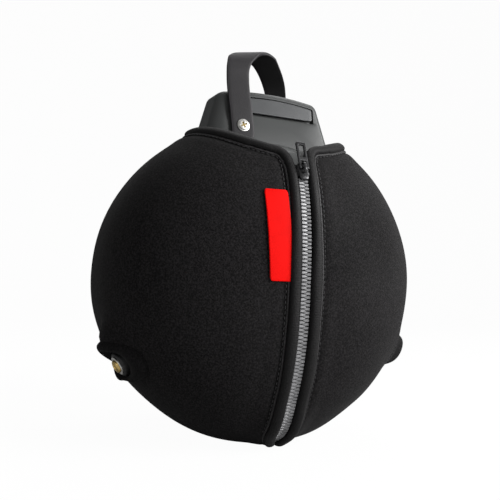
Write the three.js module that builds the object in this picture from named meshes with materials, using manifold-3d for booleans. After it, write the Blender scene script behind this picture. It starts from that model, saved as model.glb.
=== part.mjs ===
// Round zip-up carry bag for a portable grill, standing upright, with the neck and strap it is carried by.
// Millimetres, +Z up, the zip faces -Y, and the origin is the middle of the base on the ground.
// The pieces are worked out from the middle of the bag and then lifted by BODY_CENTRE_Z.
import * as THREE from 'three';
import { mergeVertices } from 'three/addons/utils/BufferGeometryUtils.js';
import Module from 'manifold-3d';

const wasm = await Module();
wasm.setup();

// Gap that neighbouring pieces keep
const GAP = 0.3;

// Bag body: a lens turned about the Y axis, where (r / radius)^p + (|y| / half depth)^q = 1
const BODY_RADIUS = 160;
const BODY_HALF_DEPTH = 124.8;
const BODY_RADIUS_POWER = 2.355;
const BODY_DEPTH_POWER = 2.84;
const BASE_FLAT = 3.5;
const BODY_CENTRE_Z = BODY_RADIUS - BASE_FLAT;
const WALL = 3;
const LENS_SEGMENTS = 40;
const PROFILE_STEPS = 14;
const FAR = 400;

// Mouth of the bag, an oval seen from above, deeper towards the zip and fuller at its left front
const MOUTH_Y = -24;
const MOUTH_HALF_WIDTH = 76;
const MOUTH_BACK = 62;
const MOUTH_CUT_LOW = 92;
const MOUTH_CORNER_X = 24;
const MOUTH_LEFT = { front: 76, power: 2.2, cornerY: -109 };
const MOUTH_RIGHT = { front: 74, power: 2, cornerY: -106 };

// Bound edge down the zip and round the mouth
const BINDING_RADIUS = 3.8;
const BINDING_LIFT = 1;
const FOOT_LIFT = 2.5;
const FOOT_LIFT_Z = -104;
const BINDING_SIDES = 8;
const BINDING_STEPS = 48;
const ZIP_EDGE_X = 10.8;
const ZIP_END_X = 4.2;
const ZIP_END_Z = -147.5;
const ZIP_WIDE_Z = -133;

// Zip tape and the rack of teeth, half of it on each side
const TAPE_EDGE_X = 6.6;
const TAPE_TOP = -0.4;
const TAPE_UNDER = -1.6;
const RACK_EDGE_X = 3.9;
const RACK_TOP = 1.4;
const RACK_UNDER = -2.2;
const RACK_LOW_Z = -143;
const RACK_HIGH_Z = 101;
const ZIP_STEPS = 24;

// Slider on the zip and its hinged pull, in the slider's own frame: x across, y up the zip, z outwards
const SLIDER_Z = 98;
const SLIDER_LENGTH = 14;
const SLIDER_TOP_WIDTH = 11;
const SLIDER_LOW_WIDTH = 8.4;
const SLIDER_FLOOR = RACK_TOP + GAP;
const SLIDER_ROOF = 4.4;
const BRIDGE_WIDTH = 3;
const BRIDGE_LENGTH = 9;
const BRIDGE_ROOF = 9;
const EYE_LENGTH = 5.2;
const EYE_FLOOR = 4.7;
const EYE_ROOF = 7.6;
const PIN_Y = 1.2;
const PIN_HEIGHT = 6.15;
const PIN_RADIUS = 1;
const PULL_WIDTH = 9.4;
const PULL_LENGTH = 25;
const PULL_THICK = 2;
const PULL_SLOT_WIDTH = 5;
const PULL_SLOT_LOW = 9.6;
const PULL_SLOT_HIGH = 22.5;
const PULL_FORK_GAP = 4.2;
const PULL_FORK_DEPTH = 6.4;

// Label beside the zip, whose left edge leans
const LABEL_LEFT_LOW = -33.3;
const LABEL_LEFT_HIGH = -37.2;
const LABEL_RIGHT = -15.1;
const LABEL_LOW = 1;
const LABEL_HIGH = 79.5;
const LABEL_THICK = 1.2;
const LABEL_COLUMNS = 3;
const LABEL_ROWS = 8;

// Neck: an upright tab with an arched top, and the deck sunk round its foot inside the mouth
const NECK_FRONT = -47;
const NECK_DEPTH = 46;
const NECK_LOW = 118;
const NECK_LOW_HALF_WIDTH = 74;
const NECK_SHOULDER = 175.5;
const NECK_SHOULDER_HALF_WIDTH = 57.5;
const NECK_EDGE = 183.7;
const NECK_EDGE_HALF_WIDTH = 50.5;
const NECK_ARCH = 191.9;
const NECK_LEAN = 0.2;
const NECK_NARROWING = 0.04;
const NECK_ROUND = 6;
const NECK_WALL = 2.5;
const NECK_FRONT_WALL = 4.2;
const DECK_SINK = 16;
const DECK_LIP = 9;
const DECK_INSET = 6;

// Plate let into the neck's front and standing a little proud of it
const PLATE_HALF_WIDTH = 48;
const PLATE_LOW = 164.8;
const PLATE_HIGH = 177.2;
const PLATE_ARCH = 184.4;
const PLATE_THICK = 2.2;
const PLATE_PROUD = 0.9;
const PLATE_CORNER = 2.5;
const PLATE_GROOVE = 1.6;

// Strap over the neck: middle line of the band from the front screw to the back one. At each point the
// band's width is turned about the upright, and its right edge is tilted up, in degrees.
const STRAP_WIDTH = 23.2;
const STRAP_THICK = 3.5;
const STRAP_STEPS = 34;
const STRAP_END_WIDTH = 15;
const STRAP_STAND = GAP + STRAP_THICK / 2;
const STRAP_BACK = NECK_FRONT + NECK_DEPTH + STRAP_STAND;
const STRAP_FRONT_X = -31.3;
const STRAP_BACK_X = 22.8;
const STRAP_ROUTE = [
  { x: STRAP_FRONT_X, y: strapFront(136.5, 0), z: 136.5, turn: 0, tilt: 0 },
  { x: STRAP_FRONT_X, y: strapFront(146, 0), z: 146, turn: 0, tilt: 0 },
  { x: -31.9, y: strapFront(155, 0), z: 155, turn: 0, tilt: 0 },
  { x: -32.6, y: strapFront(162, PLATE_PROUD), z: 162, turn: 0, tilt: 0 },
  { x: -34.2, y: strapFront(181, PLATE_PROUD), z: 181, turn: 0, tilt: 0 },
  { x: -34.7, y: strapFront(196, PLATE_PROUD), z: 196, turn: 0, tilt: 2 },
  { x: -33.9, y: -32.3, z: 210, turn: 0, tilt: 6 },
  { x: -31, y: -30, z: 217, turn: 4, tilt: 8 },
  { x: -24.5, y: -25.5, z: 222.8, turn: 10, tilt: 11 },
  { x: -13, y: -19.5, z: 225.4, turn: 22, tilt: 15 },
  { x: -0.2, y: -12.5, z: 222.8, turn: 34, tilt: 18 },
  { x: 12, y: -4.8, z: 215.8, turn: 26, tilt: 10 },
  { x: 20.6, y: STRAP_BACK + 0.3, z: 204, turn: 8, tilt: 3 },
  { x: 22.6, y: STRAP_BACK + 0.5, z: 192, turn: 0, tilt: 0 },
  { x: STRAP_BACK_X, y: STRAP_BACK + 0.3, z: 180, turn: 0, tilt: 0 },
  { x: STRAP_BACK_X, y: STRAP_BACK, z: 164, turn: 0, tilt: 0 },
  { x: STRAP_BACK_X, y: STRAP_BACK, z: 154, turn: 0, tilt: 0 },
  { x: STRAP_BACK_X, y: STRAP_BACK, z: 142, turn: 0, tilt: 0 },
];

// Strap screws
const SCREW_HEAD_RADIUS = 6.4;
const SCREW_HEAD_HIGH = 2.6;
const SCREW_SHANK_RADIUS = 2.4;
const SCREW_SHANK_LENGTH = 9;
const SCREW_SEGMENTS = 14;
const SCREW_FRONT_Z = 149.3;
const SCREW_BACK_Z = 154;
const CROSS_WIDTH = 1.5;
const CROSS_LENGTH = 7;
const CROSS_DEEP = 1.4;

// Side ports: their place on the lens and the boss clamped through the cloth
const PORT_Y = -37;
const PORT_LEFT_BELOW_LEVEL = 29.6;
const PORT_RIGHT_BELOW_LEVEL = 24.5;
const PORT_SEGMENTS = 16;
const PORT_SINK = -8;
const BOSS_RADIUS = 12.5;
const BOSS_FLANGE_RADIUS = 20;
const BOSS_FLANGE_THICK = 2.5;
const BOSS_TOP = 3.6;

// Collar of a port: its hole is longer upwards, its foot reaches further towards the zip, and its lip has a
// height of its own in each direction. The rows give the share of the way from hole to foot, the share of the
// lip's height, and an added height.
const COLLAR_SEGMENTS = 20;
const COLLAR_HOLE = 14.5;
const COLLAR_HOLE_UP = 17;
const COLLAR_FOOT = 21.5;
const COLLAR_FOOT_DOWN = 24;
const COLLAR_FOOT_FRONT = 37;
const COLLAR_LEFT_LIP = { up: 14.5, down: 9.5, front: 4.5, back: 8 };
const COLLAR_RIGHT_LIP = { up: 12, down: 9, front: 15, back: 10 };
const COLLAR_ROWS = [
  { reach: 0, lip: 0, height: GAP },
  { reach: 1, lip: 0, height: GAP },
  { reach: 1, lip: 0.05, height: 1.5 },
  { reach: 0.88, lip: 0.1, height: 2.2 },
  { reach: 0.6, lip: 0.4, height: 0.8 },
  { reach: 0.35, lip: 0.92, height: 0 },
  { reach: 0.2, lip: 1, height: 0 },
  { reach: 0.03, lip: 0.9, height: 0 },
];

// Boss of a port and the screw on it
const BOSS_PROFILE = [
  { radius: 0, height: PORT_SINK },
  { radius: BOSS_RADIUS, height: PORT_SINK },
  { radius: BOSS_RADIUS, height: BOSS_TOP - 1.5 },
  { radius: BOSS_RADIUS - 1.5, height: BOSS_TOP },
  { radius: 0, height: BOSS_TOP },
];
const PORT_SCREW_PROFILE = [
  { radius: 0, height: BOSS_TOP + GAP },
  { radius: 9.2, height: BOSS_TOP + GAP },
  { radius: 9.2, height: BOSS_TOP + 1.3 },
  { radius: 7, height: BOSS_TOP + 1.5 },
  { radius: 6.4, height: BOSS_TOP + 3 },
  { radius: 4, height: BOSS_TOP + 4 },
  { radius: 0, height: BOSS_TOP + 4.2 },
];

// Depth of the leaning neck face at height z, and of the strap's middle line on it
function neckFace(z) {
  return NECK_FRONT + NECK_LEAN * (z - NECK_LOW);
}

function strapFront(z, proud) {
  return neckFace(z) - proud - STRAP_STAND;
}

// Colour, roughness and metalness of each kind of piece
const FINISHES = {
  neoprene: { color: 0x1b191b, roughness: 0.9, metalness: 0 },
  binding: { color: 0x141315, roughness: 0.85, metalness: 0 },
  zip: { color: 0x8c8c8f, roughness: 0.4, metalness: 0.2 },
  slider: { color: 0x1a1a1c, roughness: 0.35, metalness: 0.6 },
  label: { color: 0xe0190f, roughness: 0.45, metalness: 0 },
  neck: { color: 0x4b4f4d, roughness: 0.55, metalness: 0.2 },
  plate: { color: 0x43474a, roughness: 0.5, metalness: 0.2 },
  strap: { color: 0x3b393e, roughness: 0.6, metalness: 0 },
  steel: { color: 0xc9c7be, roughness: 0.3, metalness: 0.9 },
  boss: { color: 0x0c0c0d, roughness: 0.5, metalness: 0 },
  brass: { color: 0xc7a552, roughness: 0.3, metalness: 0.9 },
};

// Closed solid of a geometry: shared vertices merged, collapsed faces dropped, faces turned outwards
function solid(geometry) {
  const bare = geometry.clone();
  bare.deleteAttribute('normal');
  bare.deleteAttribute('uv');
  const merged = mergeVertices(bare, 1e-4);
  const place = merged.attributes.position;
  const corner = [new THREE.Vector3(), new THREE.Vector3(), new THREE.Vector3()];
  const faces = [];
  let volume = 0;
  for (let i = 0; i < merged.index.count; i += 3) {
    const face = [0, 1, 2].map((k) => merged.index.getX(i + k));
    if (new Set(face).size < 3) continue;
    face.forEach((vertex, k) => corner[k].fromBufferAttribute(place, vertex));
    volume += corner[0].dot(corner[1].clone().cross(corner[2]));
    faces.push(face);
  }
  const turned = volume < 0 ? faces.map(([a, b, c]) => [a, c, b]) : faces;
  return new wasm.Manifold(new wasm.Mesh({
    numProp: 3,
    vertProperties: new Float32Array(place.array),
    triVerts: new Uint32Array(turned.flat()),
  }));
}

// Geometry of a closed solid
function geometryOf(shape) {
  const mesh = shape.getMesh();
  const geometry = new THREE.BufferGeometry();
  geometry.setAttribute('position', new THREE.BufferAttribute(new Float32Array(mesh.vertProperties), 3));
  geometry.setIndex(new THREE.BufferAttribute(new Uint32Array(mesh.triVerts), 1));
  geometry.computeVertexNormals();
  return geometry;
}

// Named mesh of a solid
function piece(name, shape, finish) {
  const mesh = new THREE.Mesh(geometryOf(shape), new THREE.MeshStandardMaterial(FINISHES[finish]));
  mesh.name = name;
  return mesh;
}

// Box between two corners
function box(low, high) {
  const size = high.map((value, k) => value - low[k]);
  const geometry = new THREE.BoxGeometry(...size);
  geometry.translate(...low.map((value, k) => value + size[k] / 2));
  return solid(geometry);
}

// Block of columns, rows and layers bent into shape: place gives the point for u, v and w from 0 to 1
function bentBlock(columns, rows, layers, place) {
  const geometry = new THREE.BoxGeometry(1, 1, 1, columns, rows, layers);
  const points = geometry.attributes.position;
  for (let i = 0; i < points.count; i += 1) {
    const point = place(points.getX(i) + 0.5, points.getY(i) + 0.5, points.getZ(i) + 0.5);
    points.setXYZ(i, point.x, point.y, point.z);
  }
  return solid(geometry);
}

// Outline in the XZ plane carried along Y from front to back
function frontPrism(shape, front, back, options = {}) {
  const bevel = options.bevelEnabled ? options.bevelThickness : 0;
  const geometry = new THREE.ExtrudeGeometry(shape, {
    depth: back - front - 2 * bevel,
    bevelEnabled: false,
    curveSegments: 12,
    ...options,
  });
  geometry.rotateX(Math.PI / 2);
  geometry.translate(0, back - bevel, 0);
  return geometry;
}

// Neck pieces leaned back and narrowed: fully at the neck's front, and not at all at its back
function leaned(geometry) {
  const points = geometry.attributes.position;
  for (let i = 0; i < points.count; i += 1) {
    const share = (NECK_FRONT + NECK_DEPTH - points.getY(i)) / NECK_DEPTH;
    points.setX(i, points.getX(i) * (1 - NECK_NARROWING * share));
    points.setY(i, points.getY(i) + share * NECK_LEAN * (points.getZ(i) - NECK_LOW));
  }
  return solid(geometry);
}

// Outline in the XY plane carried up Z from low to high
function topPrism(shape, low, high) {
  const run = { depth: high - low, bevelEnabled: false, curveSegments: 9 };
  const geometry = new THREE.ExtrudeGeometry(shape, run);
  geometry.translate(0, 0, low);
  return solid(geometry);
}

// Radius of the lens at depth y, and depth of the lens at radius r
function radiusAt(y) {
  const share = Math.min(1, Math.abs(y) / BODY_HALF_DEPTH);
  return BODY_RADIUS * (1 - share ** BODY_DEPTH_POWER) ** (1 / BODY_RADIUS_POWER);
}

function depthAt(r) {
  const share = Math.min(1, r / BODY_RADIUS);
  return BODY_HALF_DEPTH * (1 - share ** BODY_RADIUS_POWER) ** (1 / BODY_DEPTH_POWER);
}

// Outward normal of the lens at a point on it
function normalAt(point) {
  const r = Math.hypot(point.x, point.z);
  const rise = (BODY_RADIUS_POWER / BODY_RADIUS) * (r / BODY_RADIUS) ** (BODY_RADIUS_POWER - 1);
  const share = Math.abs(point.y) / BODY_HALF_DEPTH;
  const run = (BODY_DEPTH_POWER / BODY_HALF_DEPTH) * share ** (BODY_DEPTH_POWER - 1) * Math.sign(point.y);
  return new THREE.Vector3((rise * point.x) / r, run, (rise * point.z) / r).normalize();
}

// Point lifted off the front of the lens at x and z, and off its top at x and y
function frontPoint(x, z, lift) {
  const point = new THREE.Vector3(x, -depthAt(Math.hypot(x, z)), z);
  return point.addScaledVector(normalAt(point), lift);
}

function topPoint(x, y, lift) {
  const point = new THREE.Vector3(x, y, Math.sqrt(radiusAt(y) ** 2 - x ** 2));
  return point.addScaledVector(normalAt(point), lift);
}

// Solid lens grown by an offset, cut level where the bag stands
function lens(offset) {
  const profile = [];
  for (let i = 0; i <= PROFILE_STEPS; i += 1) {
    const turn = (Math.PI * i) / PROFILE_STEPS;
    const across = i % PROFILE_STEPS === 0 ? 0 : Math.sin(turn) ** (2 / BODY_RADIUS_POWER);
    const along = -Math.sign(Math.cos(turn)) * Math.abs(Math.cos(turn)) ** (2 / BODY_DEPTH_POWER);
    profile.push(new THREE.Vector2((BODY_RADIUS + offset) * across, (BODY_HALF_DEPTH + offset) * along));
  }
  const ground = -BODY_CENTRE_Z - offset;
  const turned = solid(new THREE.LatheGeometry(profile, LENS_SEGMENTS));
  return turned.subtract(box([-FAR, -FAR, -FAR], [FAR, FAR, ground]));
}

// Half the width between the bound edges at height z: they close up at the foot of the zip
function zipEdge(z) {
  const share = Math.min(1, Math.max(0, (z - ZIP_END_Z) / (ZIP_WIDE_Z - ZIP_END_Z)));
  return ZIP_END_X + (ZIP_EDGE_X - ZIP_END_X) * Math.sin((share * Math.PI) / 2);
}

// Point of the mouth's oval on one side, from -90 degrees at the zip to 90 degrees at the back
function mouthPoint(side, angle, grow = 0) {
  const shape = side < 0 ? MOUTH_LEFT : MOUTH_RIGHT;
  const square = angle < 0 ? 2 / shape.power : 1;
  const deep = (angle < 0 ? shape.front : MOUTH_BACK) + grow;
  const across = Math.max(0, Math.cos(angle)) ** square;
  const along = Math.sign(angle) * Math.abs(Math.sin(angle)) ** square;
  return new THREE.Vector2(side * (MOUTH_HALF_WIDTH + grow) * across, MOUTH_Y + deep * along);
}

// Oval of the mouth seen from above, grown by an amount
function mouthShape(grow) {
  const points = [];
  for (let k = 0; k <= 18; k += 1) points.push(mouthPoint(1, (Math.PI * (k - 9)) / 18, grow));
  for (let k = 17; k >= 0; k -= 1) points.push(mouthPoint(-1, (Math.PI * (k - 9)) / 18, grow));
  return new THREE.Shape(points);
}

// Angle where the mouth's rounded corner ends, and that corner seen from above
function cornerAngle(side) {
  const shape = side < 0 ? MOUTH_LEFT : MOUTH_RIGHT;
  return -Math.acos((MOUTH_CORNER_X / MOUTH_HALF_WIDTH) ** (shape.power / 2));
}

function mouthCorner(side) {
  const shape = side < 0 ? MOUTH_LEFT : MOUTH_RIGHT;
  const end = mouthPoint(side, cornerAngle(side));
  return new THREE.QuadraticBezierCurve(
    new THREE.Vector2(side * ZIP_EDGE_X, shape.cornerY),
    new THREE.Vector2(side * ZIP_EDGE_X, end.y - 2.5),
    end,
  );
}

// Cuts of the mouth, its rounded corners and the slot for the zip
function mouthCuts() {
  const throat = new THREE.Shape();
  const low = -FAR / 2;
  throat.moveTo(ZIP_EDGE_X, low);
  mouthCorner(1).getPoints(6).forEach(({ x, y }) => throat.lineTo(x, y));
  throat.lineTo(MOUTH_CORNER_X, MOUTH_Y);
  throat.lineTo(-MOUTH_CORNER_X, MOUTH_Y);
  mouthCorner(-1).getPoints(6).reverse().forEach(({ x, y }) => throat.lineTo(x, y));
  throat.lineTo(-ZIP_EDGE_X, low);

  const slot = new THREE.Shape();
  const heights = [];
  for (let k = 0; k <= 6; k += 1) heights.push(ZIP_END_Z + ((ZIP_WIDE_Z - ZIP_END_Z) * k) / 6);
  heights.push(MOUTH_CUT_LOW + 12);
  slot.moveTo(-zipEdge(heights[0]), heights[0]);
  heights.forEach((z) => slot.lineTo(zipEdge(z), z));
  heights.reverse().forEach((z) => slot.lineTo(-zipEdge(z), z));

  return topPrism(mouthShape(0), MOUTH_CUT_LOW, FAR)
    .add(topPrism(throat, MOUTH_CUT_LOW + 6, FAR))
    .add(solid(frontPrism(slot, -FAR, 0)));
}

// Round tube along a smooth line through points
function tube(points, radius) {
  const ring = new THREE.Shape();
  for (let k = 0; k < BINDING_SIDES; k += 1) {
    const angle = (2 * Math.PI * (k + 0.5)) / BINDING_SIDES;
    const spot = [radius * Math.cos(angle), radius * Math.sin(angle)];
    if (k === 0) ring.moveTo(...spot);
    else ring.lineTo(...spot);
  }
  ring.closePath();
  const path = new THREE.CatmullRomCurve3(points);
  return solid(new THREE.ExtrudeGeometry(ring, { steps: BINDING_STEPS, extrudePath: path }));
}

// Lift of the bound edge off the lens at height z: it stands up in a ridge towards the zip's foot
function bindingLift(z) {
  return BINDING_LIFT + FOOT_LIFT * THREE.MathUtils.smoothstep(-z, -FOOT_LIFT_Z, -ZIP_WIDE_Z);
}

// Line of the bound edge on one side: up the zip, round the corner and round the mouth past the back seam
function bindingLine(side) {
  const points = [];
  const corner = mouthCorner(side);
  const cornerY = corner.v0.y;
  for (let k = 0; k <= 3; k += 1) {
    const z = ZIP_END_Z + ((ZIP_WIDE_Z - ZIP_END_Z) * k) / 3;
    points.push(frontPoint(side * zipEdge(z), z, bindingLift(z)));
  }
  const straight = 16;
  const top = Math.sqrt(radiusAt(cornerY) ** 2 - ZIP_EDGE_X ** 2);
  for (let k = 1; k < straight; k += 1) {
    const z = ZIP_WIDE_Z + ((top - ZIP_WIDE_Z) * k) / straight;
    points.push(frontPoint(side * ZIP_EDGE_X, z, bindingLift(z)));
  }
  corner.getPoints(3).forEach(({ x, y }) => points.push(topPoint(x, y, BINDING_LIFT)));
  const round = 18;
  const start = cornerAngle(side);
  const last = Math.PI / 2 + 2 / MOUTH_HALF_WIDTH;
  for (let k = 1; k <= round; k += 1) {
    const angle = start + ((last - start) * k) / round;
    const past = angle > Math.PI / 2 ? -1 : 1;
    const { x, y } = mouthPoint(side, past > 0 ? angle : Math.PI - angle);
    points.push(topPoint(past * x, y, BINDING_LIFT));
  }
  return points;
}

// Same line run on a little at its foot, for the groove that the panel keeps clear of the bound edge
function clearanceLine(side) {
  const points = bindingLine(side);
  points[0].add(points[0].clone().sub(points[1]).setLength(2 * GAP));
  return points;
}

// Place of a port on the lens: its X runs up the cloth, its Y stands on the cloth and points outwards
function portPlace(side) {
  const r = radiusAt(PORT_Y);
  const below = THREE.MathUtils.degToRad(side < 0 ? PORT_LEFT_BELOW_LEVEL : PORT_RIGHT_BELOW_LEVEL);
  const middle = new THREE.Vector3(side * r * Math.cos(below), PORT_Y, -r * Math.sin(below));
  const up = new THREE.Vector3(side * Math.sin(below), 0, Math.cos(below));
  const outward = normalAt(middle);
  const basis = new THREE.Matrix4().makeBasis(up, outward, up.clone().cross(outward));
  return basis.setPosition(middle);
}

// Height of the lens along a port's axis, over a spot in the port's own frame
function portLens(place, x, z) {
  const level = (height) => {
    const point = new THREE.Vector3(x, height, z).applyMatrix4(place);
    const across = (Math.hypot(point.x, point.z) / BODY_RADIUS) ** BODY_RADIUS_POWER;
    return across + (Math.abs(point.y) / BODY_HALF_DEPTH) ** BODY_DEPTH_POWER - 1;
  };
  const step = 0.01;
  let height = 0;
  for (let k = 0; k < 8; k += 1) {
    const here = level(height);
    height -= (here * step) / (level(height + step) - here);
  }
  return height;
}

// Collar of a port: a ring that follows the lens, with hole, foot and lip drawn out by direction
function collar(side) {
  const place = portPlace(side);
  const high = side < 0 ? COLLAR_LEFT_LIP : COLLAR_RIGHT_LIP;
  const rows = [...COLLAR_ROWS, COLLAR_ROWS[0]];
  const stack = rows.map((row, k) => new THREE.Vector2(1, k));
  const geometry = new THREE.LatheGeometry(stack, COLLAR_SEGMENTS);
  const points = geometry.attributes.position;
  for (let i = 0; i < points.count; i += 1) {
    const row = rows[Math.round(points.getY(i))];
    const across = points.getX(i);
    const along = points.getZ(i);
    const up = Math.max(0, across) ** 2;
    const down = Math.max(0, -across) ** 2;
    const front = Math.max(0, -side * along) ** 2;
    const back = Math.max(0, side * along) ** 2;
    const hole = COLLAR_HOLE + (COLLAR_HOLE_UP - COLLAR_HOLE) * up;
    const longer = (COLLAR_FOOT_DOWN - COLLAR_FOOT) * down;
    const foot = COLLAR_FOOT + longer + (COLLAR_FOOT_FRONT - COLLAR_FOOT) * front ** 1.5;
    const radius = hole + (foot - hole) * row.reach;
    const lip = high.up * up + high.down * down + high.front * front + high.back * back;
    const x = radius * across;
    const z = radius * along;
    points.setXYZ(i, x, portLens(place, x, z) + lip * row.lip + row.height, z);
  }
  return solid(geometry.applyMatrix4(place));
}

// Profile of radius and height turned about its axis and set on a port
function portTurn(profile, side) {
  const points = profile.map(({ radius, height }) => new THREE.Vector2(radius, height));
  return solid(new THREE.LatheGeometry(points, PORT_SEGMENTS).applyMatrix4(portPlace(side)));
}

// Plain rod on a port's axis
function portRod(radius, side) {
  const rod = new THREE.CylinderGeometry(radius, radius, 60, PORT_SEGMENTS);
  return solid(rod.applyMatrix4(portPlace(side)));
}

// Two crossed bars that cut a cross recess, in a frame whose Y is the screw's axis
function crossBars(top, matrix) {
  const bars = [[CROSS_LENGTH, CROSS_WIDTH], [CROSS_WIDTH, CROSS_LENGTH]].map(([x, z]) => {
    const bar = new THREE.BoxGeometry(x, 2 * CROSS_DEEP, z);
    return solid(bar.translate(0, top, 0).applyMatrix4(matrix));
  });
  return bars[0].add(bars[1]);
}

// Everything on one side of the middle, less half a gap
function halfSpace(side) {
  const edges = side < 0 ? [-FAR, -GAP / 2] : [GAP / 2, FAR];
  return box([edges[0], -FAR, -FAR], [edges[1], FAR, FAR]);
}

// Neoprene halves
function panels() {
  const shell = lens(0).subtract(lens(-WALL));
  const cuts = mouthCuts();
  return [['panel_left', -1], ['panel_right', 1]].map(([name, side]) => {
    const shape = shell.intersect(halfSpace(side))
      .subtract(cuts)
      .subtract(tube(clearanceLine(side), BINDING_RADIUS + GAP))
      .subtract(portRod(BOSS_RADIUS + GAP, side));
    return piece(name, shape, 'neoprene');
  });
}

// Bound edges
function bindings() {
  return [['binding_left', -1], ['binding_right', 1]].map(([name, side]) => (
    piece(name, tube(bindingLine(side), BINDING_RADIUS).intersect(halfSpace(side)), 'binding')
  ));
}

// Zip halves: thin tape at the outside, thicker rack of teeth towards the middle
function zips() {
  const columns = [
    { x: TAPE_EDGE_X, under: TAPE_UNDER, top: TAPE_TOP },
    { x: RACK_EDGE_X + 0.2, under: TAPE_UNDER, top: TAPE_TOP },
    { x: RACK_EDGE_X, under: RACK_UNDER, top: RACK_TOP },
    { x: GAP / 2, under: RACK_UNDER, top: RACK_TOP },
  ];
  return [['zip_left', -1], ['zip_right', 1]].map(([name, side]) => {
    const shape = bentBlock(columns.length - 1, ZIP_STEPS, 1, (u, v, w) => {
      const column = columns[Math.round(u * (columns.length - 1))];
      const z = RACK_LOW_Z + (RACK_HIGH_Z - RACK_LOW_Z) * v;
      const room = zipEdge(z) - BINDING_RADIUS - GAP;
      const x = Math.min(column.x, Math.max(room, GAP));
      return frontPoint(side * x, z, column.under + (column.top - column.under) * w);
    });
    return piece(name, shape, 'zip');
  });
}

// Frame of the slider: its place on the zip and its lean
function sliderFrame() {
  const frame = new THREE.Group();
  const foot = frontPoint(0, SLIDER_Z, 0);
  const normal = normalAt(foot);
  frame.position.copy(foot);
  frame.rotation.x = Math.atan2(-normal.y, normal.z);
  return frame;
}

function slider() {
  const plan = new THREE.Shape();
  const half = SLIDER_LENGTH / 2;
  plan.moveTo(-SLIDER_LOW_WIDTH / 2, -half);
  plan.lineTo(SLIDER_LOW_WIDTH / 2, -half);
  plan.lineTo(SLIDER_TOP_WIDTH / 2, half - 2);
  plan.lineTo(SLIDER_TOP_WIDTH / 2 - 1.5, half);
  plan.lineTo(1.5 - SLIDER_TOP_WIDTH / 2, half);
  plan.lineTo(-SLIDER_TOP_WIDTH / 2, half - 2);
  const bridge = box(
    [-BRIDGE_WIDTH / 2, PIN_Y - BRIDGE_LENGTH / 2, SLIDER_ROOF - 0.5],
    [BRIDGE_WIDTH / 2, PIN_Y + BRIDGE_LENGTH / 2, BRIDGE_ROOF],
  );
  const eye = box(
    [-BRIDGE_WIDTH, PIN_Y - EYE_LENGTH / 2, EYE_FLOOR],
    [BRIDGE_WIDTH, PIN_Y + EYE_LENGTH / 2, EYE_ROOF],
  );
  return piece('zip_slider', topPrism(plan, SLIDER_FLOOR, SLIDER_ROOF).add(bridge).subtract(eye), 'slider');
}

// Pull tab: a plate with a slot, forked at the foot round the bridge, on a pin through the bridge's eye
function pull() {
  const outline = new THREE.Shape();
  const half = PULL_WIDTH / 2;
  outline.moveTo(-half, -1.2);
  outline.lineTo(half, -1.2);
  outline.lineTo(half, PULL_LENGTH - 1.5);
  outline.lineTo(half - 1.5, PULL_LENGTH);
  outline.lineTo(1.5 - half, PULL_LENGTH);
  outline.lineTo(-half, PULL_LENGTH - 1.5);
  const slot = box([-PULL_SLOT_WIDTH / 2, PULL_SLOT_LOW, -5], [PULL_SLOT_WIDTH / 2, PULL_SLOT_HIGH, 5]);
  const fork = box([-PULL_FORK_GAP / 2, -5, -5], [PULL_FORK_GAP / 2, PULL_FORK_DEPTH, 5]);
  const pin = new THREE.CylinderGeometry(PIN_RADIUS, PIN_RADIUS, PULL_WIDTH - 1, 12);
  const shape = topPrism(outline, -PULL_THICK / 2, PULL_THICK / 2)
    .subtract(slot)
    .subtract(fork)
    .add(solid(pin.rotateZ(Math.PI / 2)));
  const tab = piece('zip_pull', shape, 'slider');
  tab.position.set(0, PIN_Y, PIN_HEIGHT);
  return tab;
}

function label() {
  const shape = bentBlock(LABEL_COLUMNS, LABEL_ROWS, 1, (u, v, w) => {
    const left = LABEL_LEFT_LOW + (LABEL_LEFT_HIGH - LABEL_LEFT_LOW) * v;
    return frontPoint(
      left + (LABEL_RIGHT - left) * u,
      LABEL_LOW + (LABEL_HIGH - LABEL_LOW) * v,
      GAP + LABEL_THICK * w,
    );
  });
  return piece('label', shape, 'label');
}

// Outline of the neck from the front, drawn in by an amount
function neckShape(inset, low) {
  const shape = new THREE.Shape();
  const foot = NECK_LOW_HALF_WIDTH - inset;
  const shoulder = NECK_SHOULDER_HALF_WIDTH - inset;
  const edge = NECK_EDGE_HALF_WIDTH - inset;
  shape.moveTo(-foot, low);
  shape.lineTo(foot, low);
  shape.lineTo(shoulder, NECK_SHOULDER - inset / 2);
  shape.quadraticCurveTo(shoulder - 1.5, NECK_EDGE - 1.5 - inset, edge, NECK_EDGE - inset);
  shape.quadraticCurveTo(0, NECK_ARCH - inset, -edge, NECK_EDGE - inset);
  shape.quadraticCurveTo(1.5 - shoulder, NECK_EDGE - 1.5 - inset, -shoulder, NECK_SHOULDER - inset / 2);
  shape.closePath();
  return shape;
}

// Outline of the plate from the front, grown by an amount
const PLATE_BACK = NECK_FRONT - PLATE_PROUD + PLATE_THICK;
const PLATE_CURVES = { curveSegments: 4 };
function plateShape(grow) {
  const outline = new THREE.Shape();
  const half = PLATE_HALF_WIDTH + grow;
  const low = PLATE_LOW - grow;
  const high = PLATE_HIGH + grow;
  const bend = half - PLATE_CORNER;
  outline.moveTo(-bend, low);
  outline.lineTo(bend, low);
  outline.quadraticCurveTo(half, low, half, low + PLATE_CORNER);
  outline.lineTo(half, high - PLATE_CORNER);
  outline.quadraticCurveTo(half, high, bend, high);
  outline.quadraticCurveTo(0, PLATE_ARCH + grow, -bend, high);
  outline.quadraticCurveTo(-half, high, -half, high - PLATE_CORNER);
  outline.lineTo(-half, low + PLATE_CORNER);
  outline.quadraticCurveTo(-half, low, -bend, low);
  return outline;
}

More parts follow.
